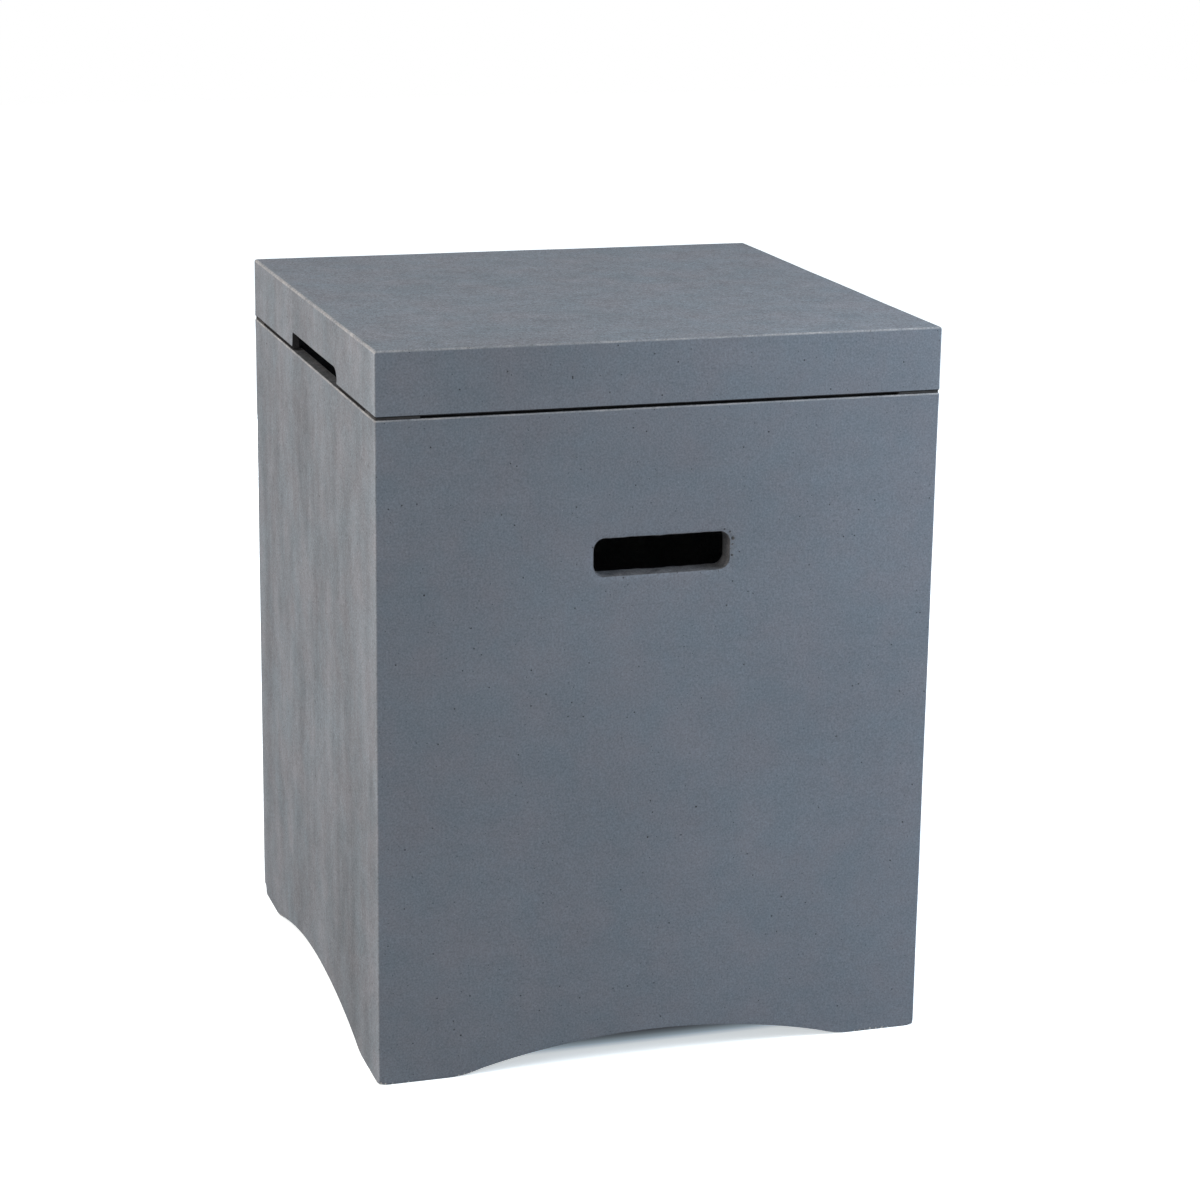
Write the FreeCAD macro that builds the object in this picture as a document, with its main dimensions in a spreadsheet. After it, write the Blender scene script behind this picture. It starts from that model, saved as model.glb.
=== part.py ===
# A square cast-concrete cover table: an open-ended shell standing on four corner feet,
# and a lift-off lid that is flush with it on every side.
# Millimetres. X runs along the front, Y runs to the back, Z is up.
# The origin is on the ground under the middle of the table.

import FreeCAD
import Part
import Sketcher
import os

doc = FreeCAD.newDocument("cover_table")
sheet = doc.addObject("Spreadsheet::Sheet", "Sizes")

# Driving sizes: alias, value, what it is
SIZES = [
    ("table_width", 450, "outside width, along X"),
    ("table_depth", 450, "outside depth, along Y"),
    ("corner_round", 1.2, "radius of the upright outer corners"),
    ("inner_corner_round", 10, "radius of the upright inner corners"),
    ("rim_edge_round", 1, "radius round the rim of the body"),
    ("foot_chamfer", 1, "chamfer under the feet and along the arches"),

    ("body_height", 528, "ground to the rim of the body"),
    ("body_wall", 12, "wall of the body"),
    ("slot_width", 110, "hand slot, across"),
    ("slot_height", 30, "hand slot, up and down"),
    ("slot_corner", 8, "hand slot, corner radius"),
    ("slot_centre_height", 413, "ground to the middle of the hand slot"),
    ("slot_edge_round", 2, "round-over where a hand goes in"),
    ("arch_width", 318, "span of a base arch between its feet"),
    ("arch_height", 22, "ground to the crown of an arch"),
    ("arch_run_out", 80, "radius that eases the arch into a foot"),

    ("lid_height", 50, "lid rim to tabletop"),
    ("lid_wall", 12, "wall of the lid's skirt"),
    ("lid_top_thickness", 12, "slab of the lid"),
    ("lid_top_round", 2, "radius round the tabletop"),
    ("lid_foot_round", 0.6, "radius round the lower edge of the lid's skirt"),
    ("lid_inner_fillet", 5, "fillet between slab and skirt, inside"),
    ("notch_width", 165, "finger notch, along the side"),
    ("notch_height", 13, "finger notch, above the lid's rim"),
    ("notch_forward", 15, "middle of the notch, to the front of the side's middle"),
    ("notch_front_corner", 11, "radius at the notch's front end"),
    ("notch_back_corner", 3, "radius at the notch's back end"),
    ("boss_size", 34, "corner boss, inwards from the skirt"),
    ("boss_corner", 8, "corner boss, corner radius"),

    ("pad_thickness", 2, "rest pad, which sets the shadow gap"),
    ("pad_inset", 0.8, "rest pad, in from each side of the rim"),
    ("pad_leg", 34, "rest pad, length of each leg"),
    ("pad_corner", 1, "rest pad, radius of its corners"),

    ("guide_clearance", 1.5, "gap between a guide and the inside of the body"),
    ("guide_width", 22, "guide, square, across its sides"),
    ("guide_corner", 6, "guide, cut off each corner"),
    ("guide_depth", 15, "guide, whole depth below the lid's rim"),
    ("guide_lead_in_height", 7, "guide, height of its sloped tip"),
    ("guide_lead_in_depth", 2.5, "guide, how far its tip slopes in"),
    ("guide_seat", 5, "rubber between the boss and the washer"),
    ("guide_recess_diameter", 11, "recess for the washer and screw head"),

    ("screw_diameter", 4, "screw shank"),
    ("screw_length", 14, "screw, under its head"),
    ("screw_head_diameter", 8, "pan head, across its seat"),
    ("screw_head_top_diameter", 6, "pan head, across its flat top"),
    ("screw_head_height", 2.8, "pan head, depth"),
    ("screw_slot_width", 1, "driver slot, across"),
    ("screw_slot_depth", 1.2, "driver slot, depth"),
    ("screw_hole_clearance", 0.25, "gap round the shank in rubber and washer"),
    ("thread_clearance", 0.05, "gap round the shank in the insert"),
    ("washer_diameter", 9.5, "washer, across"),
    ("washer_thickness", 1, "washer, thickness"),
    ("insert_diameter", 7, "cast-in insert, across"),
    ("insert_length", 10, "cast-in insert, length"),
    ("insert_clearance", 0.05, "bedding round the cast-in insert"),
]

for row, (alias, size, note) in enumerate(SIZES, start=1):
    sheet.set(f"A{row}", note)
    sheet.set(f"B{row}", str(size))
    sheet.setAlias(f"B{row}", alias)
doc.recompute()

# How far a cut runs on past the concrete
OVERCUT = 20.0
# The plane or edge found lies this close to where it is looked for
NEAR = 0.01

LID_BASE = "Sizes.body_height + Sizes.pad_thickness"
PAD_WIDTH = "Sizes.body_wall - 2 * Sizes.pad_inset"
GUIDE_X = ("Sizes.table_width / 2 - Sizes.body_wall - Sizes.guide_clearance"
           " - Sizes.guide_width / 2")
GUIDE_Y = ("Sizes.table_depth / 2 - Sizes.body_wall - Sizes.guide_clearance"
           " - Sizes.guide_width / 2")

# Corners in turn: name, side along X, side along Y, quarter turns from back right
CORNERS = [
    ("back_right", 1, 1, 0),
    ("back_left", -1, 1, 1),
    ("front_left", -1, -1, 2),
    ("front_right", 1, -1, 3),
]


def value(expression):
    """The number that an expression on the sheet gives."""
    return float(sheet.evalExpression(expression))


def new_body(label):
    """A body that is one sub-part, named after its piece."""
    body = doc.addObject("PartDesign::Body", label)
    body.Label = label
    return body


def place(body, x="0", y="0", z="0", turn=0):
    """Put a sub-part at its place, bound to the sheet, turned about Z by quarter turns."""
    body.Placement = FreeCAD.Placement(
        FreeCAD.Vector(value(x), value(y), value(z)),
        FreeCAD.Rotation(FreeCAD.Vector(0, 0, 1), 90 * turn))
    body.setExpression("Placement.Base.x", x)
    body.setExpression("Placement.Base.y", y)
    body.setExpression("Placement.Base.z", z)


def new_sketch(body, name, plane):
    """A sketch on one of the body's own origin planes."""
    sketch = body.newObject("Sketcher::SketchObject", name)
    for feature in body.Origin.OriginFeatures:
        if feature.Role == plane:
            sketch.AttachmentSupport = [(feature, "")]
    sketch.MapMode = "FlatFace"
    doc.recompute()
    return sketch


def dimension(sketch, kind, expression, *where):
    """A dimension of a sketch, bound to the sheet."""
    index = sketch.addConstraint(Sketcher.Constraint(kind, *where, value(expression)))
    sketch.setExpression(f"Constraints[{index}]", expression)


def line(sketch, start, end):
    """A straight edge of a sketch."""
    return sketch.addGeometry(Part.LineSegment(
        FreeCAD.Vector(*start, 0), FreeCAD.Vector(*end, 0)))


def arc(sketch, centre, radius, start, end):
    """A round edge of a sketch, anticlockwise from one angle in degrees to another."""
    circle = Part.Circle(FreeCAD.Vector(*centre, 0), FreeCAD.Vector(0, 0, 1), radius)
    to_radians = FreeCAD.Units.parseQuantity("1 deg").getValueAs("rad").Value
    return sketch.addGeometry(Part.ArcOfCircle(circle, start * to_radians, end * to_radians))


def outline(sketch, corners):
    """A closed outline of straight edges, each corner bound to the sheet."""
    places = [(value(x), value(y)) for x, y in corners]
    edges = [line(sketch, places[i], places[(i + 1) % len(places)])
             for i in range(len(places))]
    for i, edge in enumerate(edges):
        sketch.addConstraint(Sketcher.Constraint("Coincident", edge, 2,
                                                 edges[(i + 1) % len(edges)], 1))
        dimension(sketch, "DistanceX", corners[i][0], edge, 1)
        dimension(sketch, "DistanceY", corners[i][1], edge, 1)


def rounded_box(sketch, left, right, bottom, top, radii):
    """A rectangle with round corners; radii go anticlockwise from the bottom left."""
    x0, x1, y0, y1 = value(left), value(right), value(bottom), value(top)
    r = [value(radius) for radius in radii]
    arcs = [arc(sketch, (x0 + r[0], y0 + r[0]), r[0], 180, 270),
            arc(sketch, (x1 - r[1], y0 + r[1]), r[1], 270, 360),
            arc(sketch, (x1 - r[2], y1 - r[2]), r[2], 0, 90),
            arc(sketch, (x0 + r[3], y1 - r[3]), r[3], 90, 180)]
    lines = [line(sketch, (x0 + r[0], y0), (x1 - r[1], y0)),
             line(sketch, (x1, y0 + r[1]), (x1, y1 - r[2])),
             line(sketch, (x1 - r[2], y1), (x0 + r[3], y1)),
             line(sketch, (x0, y1 - r[3]), (x0, y0 + r[0]))]
    for i in range(4):
        sketch.addConstraint(Sketcher.Constraint("Tangent", arcs[i], 2, lines[i], 1))
        sketch.addConstraint(Sketcher.Constraint("Tangent", lines[i], 2, arcs[(i + 1) % 4], 1))
        dimension(sketch, "Radius", radii[i], arcs[i])
    for i in (0, 2):
        sketch.addConstraint(Sketcher.Constraint("Horizontal", lines[i]))
    for i in (1, 3):
        sketch.addConstraint(Sketcher.Constraint("Vertical", lines[i]))
    dimension(sketch, "DistanceX", left, lines[3], 1)
    dimension(sketch, "DistanceX", right, lines[1], 1)
    dimension(sketch, "DistanceY", bottom, lines[0], 1)
    dimension(sketch, "DistanceY", top, lines[2], 1)


def plan_box(sketch, inset, radius):
    """A rounded rectangle on the table's plan, inset from its outside."""
    rounded_box(sketch,
                f"-(Sizes.table_width / 2 - {inset})", f"Sizes.table_width / 2 - {inset}",
                f"-(Sizes.table_depth / 2 - {inset})", f"Sizes.table_depth / 2 - {inset}",
                [radius] * 4)


def arch_outline(sketch):
    """The opening under a base arch: a round crown that eases into the two feet.

    The crown's arc would meet the ground at half the arch's width. A larger arc inside
    each foot touches the ground and the crown's arc, and takes the corner off.
    """
    half = "Sizes.arch_width / 2"
    crown_radius = f"(({half}) ^ 2 + Sizes.arch_height ^ 2) / (2 * Sizes.arch_height)"
    crown = value(crown_radius)
    rise = value("Sizes.arch_height")
    ease = value("Sizes.arch_run_out")
    touch = (2 * rise * (crown + ease) - rise ** 2) ** 0.5
    to_foot = FreeCAD.Vector(touch, ease - (rise - crown), 0)
    lean = to_foot.getAngle(FreeCAD.Vector(1, 0, 0))
    lean = FreeCAD.Units.Quantity(lean, "rad").getValueAs("deg").Value
    top = arc(sketch, (0, rise - crown), crown, lean, 180 - lean)
    right = arc(sketch, (touch, ease), ease, 180 + lean, 270)
    left = arc(sketch, (-touch, ease), ease, 270, 360 - lean)
    right_side = line(sketch, (touch, 0), (touch, -OVERCUT))
    floor = line(sketch, (touch, -OVERCUT), (-touch, -OVERCUT))
    left_side = line(sketch, (-touch, -OVERCUT), (-touch, 0))
    for pair in ((top, 1, right, 1), (left, 2, top, 2)):
        sketch.addConstraint(Sketcher.Constraint("Tangent", *pair))
    for pair in ((right, 2, right_side, 1), (right_side, 2, floor, 1),
                 (floor, 2, left_side, 1), (left_side, 2, left, 1)):
        sketch.addConstraint(Sketcher.Constraint("Coincident", *pair))
    sketch.addConstraint(Sketcher.Constraint("Vertical", right_side))
    sketch.addConstraint(Sketcher.Constraint("Vertical", left_side))
    sketch.addConstraint(Sketcher.Constraint("Horizontal", floor))
    sketch.addConstraint(Sketcher.Constraint("Vertical", right, 3, right, 2))
    sketch.addConstraint(Sketcher.Constraint("Vertical", left, 3, left, 1))
    sketch.addConstraint(Sketcher.Constraint("PointOnObject", top, 3, -2))
    sketch.addConstraint(Sketcher.Constraint("PointOnObject", right, 2, -1))
    sketch.addConstraint(Sketcher.Constraint("PointOnObject", left, 1, -1))
    sketch.addConstraint(Sketcher.Constraint("DistanceY", floor, 1, -OVERCUT))
    dimension(sketch, "Radius", crown_radius, top)
    dimension(sketch, "DistanceY", f"Sizes.arch_height - ({crown_radius})", top, 3)
    dimension(sketch, "Radius", "Sizes.arch_run_out", right)
    dimension(sketch, "Radius", "Sizes.arch_run_out", left)


def pad(body, sketch, name, length, down=False):
    """Raise a sketch into a solid of the given length, upwards unless told otherwise."""
    feature = body.newObject("PartDesign::Pad", name)
    feature.Profile = sketch
    feature.Length = value(length)
    feature.setExpression("Length", length)
    feature.Reversed = down
    doc.recompute()
    return feature


def cut(body, sketch, name, length, both_ways=False, flip=False):
    """Cut a sketch out of the body, and make sure that it took something away."""
    before = body.Shape.Volume
    feature = body.newObject("PartDesign::Pocket", name)
    feature.Profile = sketch
    feature.Length = value(length)
    feature.setExpression("Length", length)
    feature.Midplane = both_ways
    feature.Reversed = flip
    doc.recompute()
    if body.Shape.Volume > before - 1:
        raise RuntimeError(name + " cuts nothing")
    return feature


def revolve(body, sketch, name, kind="Revolution"):
    """Turn a sketch about the body's upright axis, to add a Revolution or cut a Groove."""
    feature = body.newObject("PartDesign::" + kind, name)
    feature.Profile = sketch
    feature.ReferenceAxis = (sketch, ["V_Axis"])
    feature.Angle = 360
    doc.recompute()
    return feature


def round_edges(body, name, radius, chosen):
    """Round the edges of the body that the test picks out."""
    base = body.Tip
    names = [f"Edge{i}" for i, edge in enumerate(base.Shape.Edges, start=1) if chosen(edge)]
    feature = body.newObject("PartDesign::Fillet", name)
    feature.Base = (base, names)
    feature.Radius = value(radius)
    feature.setExpression("Radius", radius)
    doc.recompute()
    return feature


def chamfer_edges(body, name, size, chosen, other_size=None):
    """Chamfer the edges of the body that the test picks out, with one size or two."""
    base = body.Tip
    names = [f"Edge{i}" for i, edge in enumerate(base.Shape.Edges, start=1) if chosen(edge)]
    feature = body.newObject("PartDesign::Chamfer", name)
    feature.Base = (base, names)
    feature.Size = value(size)
    feature.setExpression("Size", size)
    if other_size:
        feature.ChamferType = "Two distances"
        feature.Size2 = value(other_size)
        feature.setExpression("Size2", other_size)
    doc.recompute()
    return feature


def at_level(edge, height):
    """Whether an edge lies flat at a height."""
    box = edge.BoundBox
    return abs(box.ZMin - height) < NEAR and abs(box.ZMax - height) < NEAR


def on_outside(edge):
    """Whether an edge lies on one of the table's four outer planes."""
    box = edge.BoundBox
    half_width = value("Sizes.table_width") / 2
    half_depth = value("Sizes.table_depth") / 2
    return (box.XMin > half_width - NEAR or box.XMax < NEAR - half_width
            or box.YMin > half_depth - NEAR or box.YMax < NEAR - half_depth)


def make_body():
    """The shell: four walls, a hand slot front and back, an arch under every side."""
    body = new_body("cover_body")
    outer = new_sketch(body, "body_plan", "XY_Plane")
    plan_box(outer, "0", "Sizes.corner_round")
    pad(body, outer, "body_block", "Sizes.body_height")

    inner = new_sketch(body, "body_inside", "XY_Plane")
    plan_box(inner, "Sizes.body_wall", "Sizes.inner_corner_round")
    cut(body, inner, "body_hollow", "Sizes.body_height", flip=True)

    slot = new_sketch(body, "hand_slot", "XZ_Plane")
    middle, half = "Sizes.slot_centre_height", "Sizes.slot_height / 2"
    rounded_box(slot, "-Sizes.slot_width / 2", "Sizes.slot_width / 2",
                f"{middle} - {half}", f"{middle} + {half}", ["Sizes.slot_corner"] * 4)
    cut(body, slot, "hand_slots", f"Sizes.table_depth + {OVERCUT}", both_ways=True)

    front_arch = new_sketch(body, "front_and_back_arch", "XZ_Plane")
    arch_outline(front_arch)
    cut(body, front_arch, "front_and_back_arches", f"Sizes.table_depth + {OVERCUT}",
        both_ways=True)
    side_arch = new_sketch(body, "side_arch", "YZ_Plane")
    arch_outline(side_arch)
    cut(body, side_arch, "side_arches", f"Sizes.table_width + {OVERCUT}", both_ways=True)

    rim = value("Sizes.body_height")
    round_edges(body, "rim_round", "Sizes.rim_edge_round",
                lambda edge: at_level(edge, rim) and (on_outside(edge) or round_corner(edge)))
    slot_floor = value(f"{middle} - {half}")
    round_edges(body, "slot_round", "Sizes.slot_edge_round",
                lambda edge: on_outside(edge) and slot_floor - NEAR < edge.BoundBox.ZMin
                and edge.BoundBox.ZMax < value(f"{middle} + {half}") + NEAR)
    crown = value("Sizes.arch_height")
    chamfer_edges(body, "foot_chamfers", "Sizes.foot_chamfer",
                  lambda edge: edge.BoundBox.ZMax < crown + NEAR
                  and (on_outside(edge) or round_corner(edge)))
    return body


def round_corner(edge):
    """Whether an edge is the short level arc at one of the table's outer corners."""
    box = edge.BoundBox
    reach = value("Sizes.corner_round") + NEAR
    return (box.ZLength < NEAR
            and max(abs(box.XMin), abs(box.XMax)) > value("Sizes.table_width") / 2 - NEAR
            and max(abs(box.YMin), abs(box.YMax)) > value("Sizes.table_depth") / 2 - NEAR
            and box.XLength < reach and box.YLength < reach)


def make_lid():
    """The lid: an upside-down tray with a boss in each corner and two finger notches."""
    lid = new_body("lid")
    place(lid, z=LID_BASE)
    outer = new_sketch(lid, "lid_plan", "XY_Plane")
    plan_box(outer, "0", "Sizes.corner_round")
    pad(lid, outer, "lid_block", "Sizes.lid_height")

    top = value("Sizes.lid_height")
    round_edges(lid, "tabletop_round", "Sizes.lid_top_round", lambda edge: at_level(edge, top))
    round_edges(lid, "skirt_round", "Sizes.lid_foot_round", lambda edge: at_level(edge, 0))

    inner = new_sketch(lid, "lid_inside", "XY_Plane")
    plan_box(inner, "Sizes.lid_wall", "Sizes.inner_corner_round")
    cut(lid, inner, "lid_hollow", "Sizes.lid_height - Sizes.lid_top_thickness", flip=True)

    ceiling = value("Sizes.lid_height - Sizes.lid_top_thickness")
    round_edges(lid, "ceiling_fillet", "Sizes.lid_inner_fillet",
                lambda edge: at_level(edge, ceiling))

    bosses = new_sketch(lid, "boss_plans", "XY_Plane")
    inwards = "Sizes.lid_wall / 2"
    for name, along, across, turn in CORNERS:
        x_out, y_out = f"(Sizes.table_width / 2 - {inwards})", f"(Sizes.table_depth / 2 - {inwards})"
        x_in = "(Sizes.table_width / 2 - Sizes.lid_wall - Sizes.boss_size)"
        y_in = "(Sizes.table_depth / 2 - Sizes.lid_wall - Sizes.boss_size)"
        left, right = (x_in, x_out) if along > 0 else ("-" + x_out, "-" + x_in)
        bottom, top = (y_in, y_out) if across > 0 else ("-" + y_out, "-" + y_in)
        rounded_box(bosses, left, right, bottom, top, ["Sizes.boss_corner"] * 4)
    pad(lid, bosses, "corner_bosses", "Sizes.lid_height - Sizes.lid_top_thickness / 2")

    notch = new_sketch(lid, "finger_notch", "YZ_Plane")
    front_corner, back_corner = "Sizes.notch_front_corner", "Sizes.notch_back_corner"
    rounded_box(notch, "-Sizes.notch_forward - Sizes.notch_width / 2",
                "Sizes.notch_width / 2 - Sizes.notch_forward",
                "-Sizes.lid_height", "Sizes.notch_height",
                [front_corner, back_corner, back_corner, front_corner])
    cut(lid, notch, "finger_notches", f"Sizes.table_width + {OVERCUT}", both_ways=True)

    insert_holes = new_sketch(lid, "insert_holes", "XY_Plane")
    for name, along, across, turn in CORNERS:
        circle = insert_holes.addGeometry(Part.Circle(
            FreeCAD.Vector(along * value(GUIDE_X), across * value(GUIDE_Y), 0),
            FreeCAD.Vector(0, 0, 1), value("Sizes.insert_diameter") / 2))
        dimension(insert_holes, "DistanceX", f"{along} * ({GUIDE_X})", circle, 3)
        dimension(insert_holes, "DistanceY", f"{across} * ({GUIDE_Y})", circle, 3)
        dimension(insert_holes, "Radius",
                  "Sizes.insert_diameter / 2 + Sizes.insert_clearance", circle)
    cut(lid, insert_holes, "insert_sockets", "Sizes.insert_length", flip=True)

    return lid


def make_rest_pad(corner, along, across, turn):
    """A rubber pad, L-shaped along the rim of one corner, which carries the lid.

    It is nearly as wide as the rim, so that the gap under the lid is dark to its ends.
    """
    rest_pad = new_body(f"rest_pad_{corner}")
    place(rest_pad, f"{along} * (Sizes.table_width / 2 - Sizes.pad_inset)",
          f"{across} * (Sizes.table_depth / 2 - Sizes.pad_inset)", "Sizes.body_height", turn)
    plan = new_sketch(rest_pad, f"{corner}_pad_plan", "XY_Plane")
    outline(plan, [("0", "0"), ("-Sizes.pad_leg", "0"),
                   ("-Sizes.pad_leg", f"-({PAD_WIDTH})"),
                   (f"-({PAD_WIDTH})", f"-({PAD_WIDTH})"),
                   (f"-({PAD_WIDTH})", "-Sizes.pad_leg"),
                   ("0", "-Sizes.pad_leg")])
    pad(rest_pad, plan, f"{corner}_pad_sheet", "Sizes.pad_thickness")
    round_edges(rest_pad, f"{corner}_pad_ends", "Sizes.pad_corner",
                lambda edge: edge.BoundBox.ZLength > value("Sizes.pad_thickness") - NEAR
                and not at_inner_corner(edge))
    return rest_pad


def at_inner_corner(edge):
    """Whether an upright edge of a pad is the inner corner of its L."""
    box = edge.BoundBox
    width = value(PAD_WIDTH)
    return abs(box.XMin + width) < NEAR and abs(box.YMin + width) < NEAR


def make_guide(corner, along, across, turn):
    """A rubber guide under one corner of the lid, which keeps the lid flush.

    It is a square block with its corners cut off, so that it clears the round inner
    corner of the body. Its sides slope in at the tip to find their way in, and a recess
    from below holds the washer and the screw's head.
    """
    guide = new_body(f"guide_{corner}")
    place(guide, f"{along} * ({GUIDE_X})", f"{across} * ({GUIDE_Y})", LID_BASE)
    plan = new_sketch(guide, f"{corner}_guide_plan", "XY_Plane")
    side = "Sizes.guide_width / 2"
    flat = "(Sizes.guide_width / 2 - Sizes.guide_corner)"
    outline(plan, [(side, "-" + flat), (side, flat), (flat, side), ("-" + flat, side),
                   ("-" + side, flat), ("-" + side, "-" + flat),
                   ("-" + flat, "-" + side), (flat, "-" + side)])
    pad(guide, plan, f"{corner}_guide_block", "Sizes.guide_depth", down=True)
    tip = -value("Sizes.guide_depth")
    chamfer_edges(guide, f"{corner}_guide_lead_in", "Sizes.guide_lead_in_height",
                  lambda edge: at_level(edge, tip), "Sizes.guide_lead_in_depth")
    profile = new_sketch(guide, f"{corner}_guide_bore", "XZ_Plane")
    hole = "Sizes.screw_diameter / 2 + Sizes.screw_hole_clearance"
    recess = "Sizes.guide_recess_diameter / 2"
    outline(profile, [("0", "0"), (hole, "0"), (hole, "-Sizes.guide_seat"),
                      (recess, "-Sizes.guide_seat"), (recess, "-Sizes.guide_depth"),
                      ("0", "-Sizes.guide_depth")])
    revolve(guide, profile, f"{corner}_guide_recess", "Groove")
    return guide


def make_screw():
    """A pan-head screw under one corner of the lid, its head below the washer."""
    screw = new_body("guide_screw")
    place(screw, GUIDE_X, GUIDE_Y, f"{LID_BASE} - Sizes.guide_seat - Sizes.washer_thickness")
    profile = new_sketch(screw, "screw_profile", "XZ_Plane")
    shank, head = "Sizes.screw_diameter / 2", "Sizes.screw_head_diameter / 2"
    outline(profile, [("0", "-Sizes.screw_head_height"),
                      ("Sizes.screw_head_top_diameter / 2", "-Sizes.screw_head_height"),
                      (head, "0"), (shank, "0"), (shank, "Sizes.screw_length"),
                      ("0", "Sizes.screw_length")])
    revolve(screw, profile, "screw_turning")
    groove = new_sketch(screw, "driver_slot", "XZ_Plane")
    outline(groove, [("-Sizes.screw_slot_width / 2", f"-{OVERCUT}"),
                     ("Sizes.screw_slot_width / 2", f"-{OVERCUT}"),
                     ("Sizes.screw_slot_width / 2",
                      "Sizes.screw_slot_depth - Sizes.screw_head_height"),
                     ("-Sizes.screw_slot_width / 2",
                      "Sizes.screw_slot_depth - Sizes.screw_head_height")])
    cut(screw, groove, "driver_slot_cut", "2 * Sizes.screw_head_diameter", both_ways=True)
    return screw


def make_washer():
    """A flat washer that spreads the screw head's load on the rubber."""
    washer = new_body("guide_washer")
    place(washer, GUIDE_X, GUIDE_Y, f"{LID_BASE} - Sizes.guide_seat")
    profile = new_sketch(washer, "washer_profile", "XZ_Plane")
    hole = "Sizes.screw_diameter / 2 + Sizes.screw_hole_clearance"
    outline(profile, [(hole, "0"), (hole, "-Sizes.washer_thickness"),
                      ("Sizes.washer_diameter / 2", "-Sizes.washer_thickness"),
                      ("Sizes.washer_diameter / 2", "0")])
    revolve(washer, profile, "washer_turning")
    return washer


def make_insert():
    """A threaded insert cast into the boss over the guide."""
    insert = new_body("lid_insert")
    place(insert, GUIDE_X, GUIDE_Y, LID_BASE)
    profile = new_sketch(insert, "insert_profile", "XZ_Plane")
    bore = "Sizes.screw_diameter / 2 + Sizes.thread_clearance"
    outline(profile, [(bore, "0"), ("Sizes.insert_diameter / 2", "0"),
                      ("Sizes.insert_diameter / 2", "Sizes.insert_length"),
                      (bore, "Sizes.insert_length")])
    revolve(insert, profile, "insert_turning")
    return insert


def mirrored(source, label, normal):
    """A mirror image of a piece across the middle of the table."""
    image = doc.addObject("Part::Mirroring", label)
    image.Source = source
    image.Normal = FreeCAD.Vector(*normal)
    return image


def set_of_four(piece, label):
    """The same piece at all four corners, as one set."""
    pair = doc.addObject("Part::Compound", label + "_back")
    pair.Links = [piece, mirrored(piece, label + "_left", (1, 0, 0))]
    whole = doc.addObject("Part::Compound", label)
    whole.Links = [pair, mirrored(pair, label + "_front", (0, 1, 0))]
    whole.Label = label
    return whole


sub_parts = [make_body(), make_lid()]
for corner in CORNERS:
    sub_parts.append(make_rest_pad(*corner))
for corner in CORNERS:
    sub_parts.append(make_guide(*corner))
sub_parts.append(set_of_four(make_screw(), "guide_screws"))
sub_parts.append(set_of_four(make_washer(), "guide_washers"))
sub_parts.append(set_of_four(make_insert(), "lid_inserts"))
doc.recompute()

for item in doc.Objects:
    if "Invalid" in item.State or "Error" in item.State:
        raise RuntimeError(item.Label + " failed to build")
for piece in sub_parts:
    if piece.Shape.isNull() or not piece.Shape.isValid():
        raise RuntimeError(piece.Label + " has no valid shape")

os.makedirs("parts", exist_ok=True)
for piece in sub_parts:
    piece.Shape.exportStep(f"parts/{piece.Label}.step")
    box = piece.Shape.BoundBox
    print(f"{piece.Label}: {len(piece.Shape.Solids)} solid(s), "
          f"{piece.Shape.Volume / 1000:.2f} cm3, z {box.ZMin:.2f} to {box.ZMax:.2f}")
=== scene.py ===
# %% [markdown]
# # A cast-concrete tank cover table
# The table is two castings. A square shell, open at the top and the bottom, stands on four
# corner feet, and a lid drops over it and is the tabletop. This lesson takes the measured
# solids as a fixed frame and builds what is seen around them: the castings with their soft
# edges, pinholes and chips, the rubber and metal under the lid, the finish of each, and a
# plain studio. Every size comes from the frame, in metres, with Z up.

import math
import random

import bpy
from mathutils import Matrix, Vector


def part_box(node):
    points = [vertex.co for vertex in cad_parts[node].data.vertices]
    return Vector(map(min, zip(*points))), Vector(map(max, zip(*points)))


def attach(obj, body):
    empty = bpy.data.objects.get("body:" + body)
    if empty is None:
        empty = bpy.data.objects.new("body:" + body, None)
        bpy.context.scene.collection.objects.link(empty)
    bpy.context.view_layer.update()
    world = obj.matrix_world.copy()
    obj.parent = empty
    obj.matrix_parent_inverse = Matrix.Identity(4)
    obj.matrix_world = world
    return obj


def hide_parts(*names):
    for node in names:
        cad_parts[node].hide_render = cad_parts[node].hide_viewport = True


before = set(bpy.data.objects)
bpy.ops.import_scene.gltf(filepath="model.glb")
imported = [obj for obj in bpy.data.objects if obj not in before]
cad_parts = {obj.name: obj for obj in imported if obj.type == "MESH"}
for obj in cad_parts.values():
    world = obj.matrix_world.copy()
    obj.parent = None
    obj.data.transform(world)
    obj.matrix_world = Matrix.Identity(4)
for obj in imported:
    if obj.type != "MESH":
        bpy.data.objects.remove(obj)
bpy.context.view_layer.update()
print("solids:", ", ".join(sorted(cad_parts)))

# %% [markdown]
# ## The size of the castings
# The frame gives the box of each solid. The wall, the hand slot, the arches and the notch
# can't be read from a box, so they are written here once, as the sizes that the mould has,
# and each cutter further down is made from them.

# %% Sizes
MM = 0.001
shell_low, shell_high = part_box("cover_body")
lid_low, lid_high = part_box("lid")
HALF_WIDTH = shell_high.x
HALF_DEPTH = shell_high.y
WALL = 12 * MM
UPRIGHT_ROUND = 1.4 * MM
INNER_CORNER_ROUND = 10 * MM
CORNERS = {"front_left": (-1, -1), "front_right": (1, -1),
           "back_left": (-1, 1), "back_right": (1, 1)}
print("shell", [round(v / MM, 1) for v in shell_high - shell_low], "mm")
print("lid", [round(v / MM, 1) for v in lid_high - lid_low], "mm")

# %% [markdown]
# ## The camera
# The photograph is taken from the front left, a little above the table, with a short
# telephoto lens. A camera could be turned by eye until the picture agrees. Here it was
# worked out from the straight edges of the table, and it needs no shift: its place, its
# three angles and its focal length are all that it takes.

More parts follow.
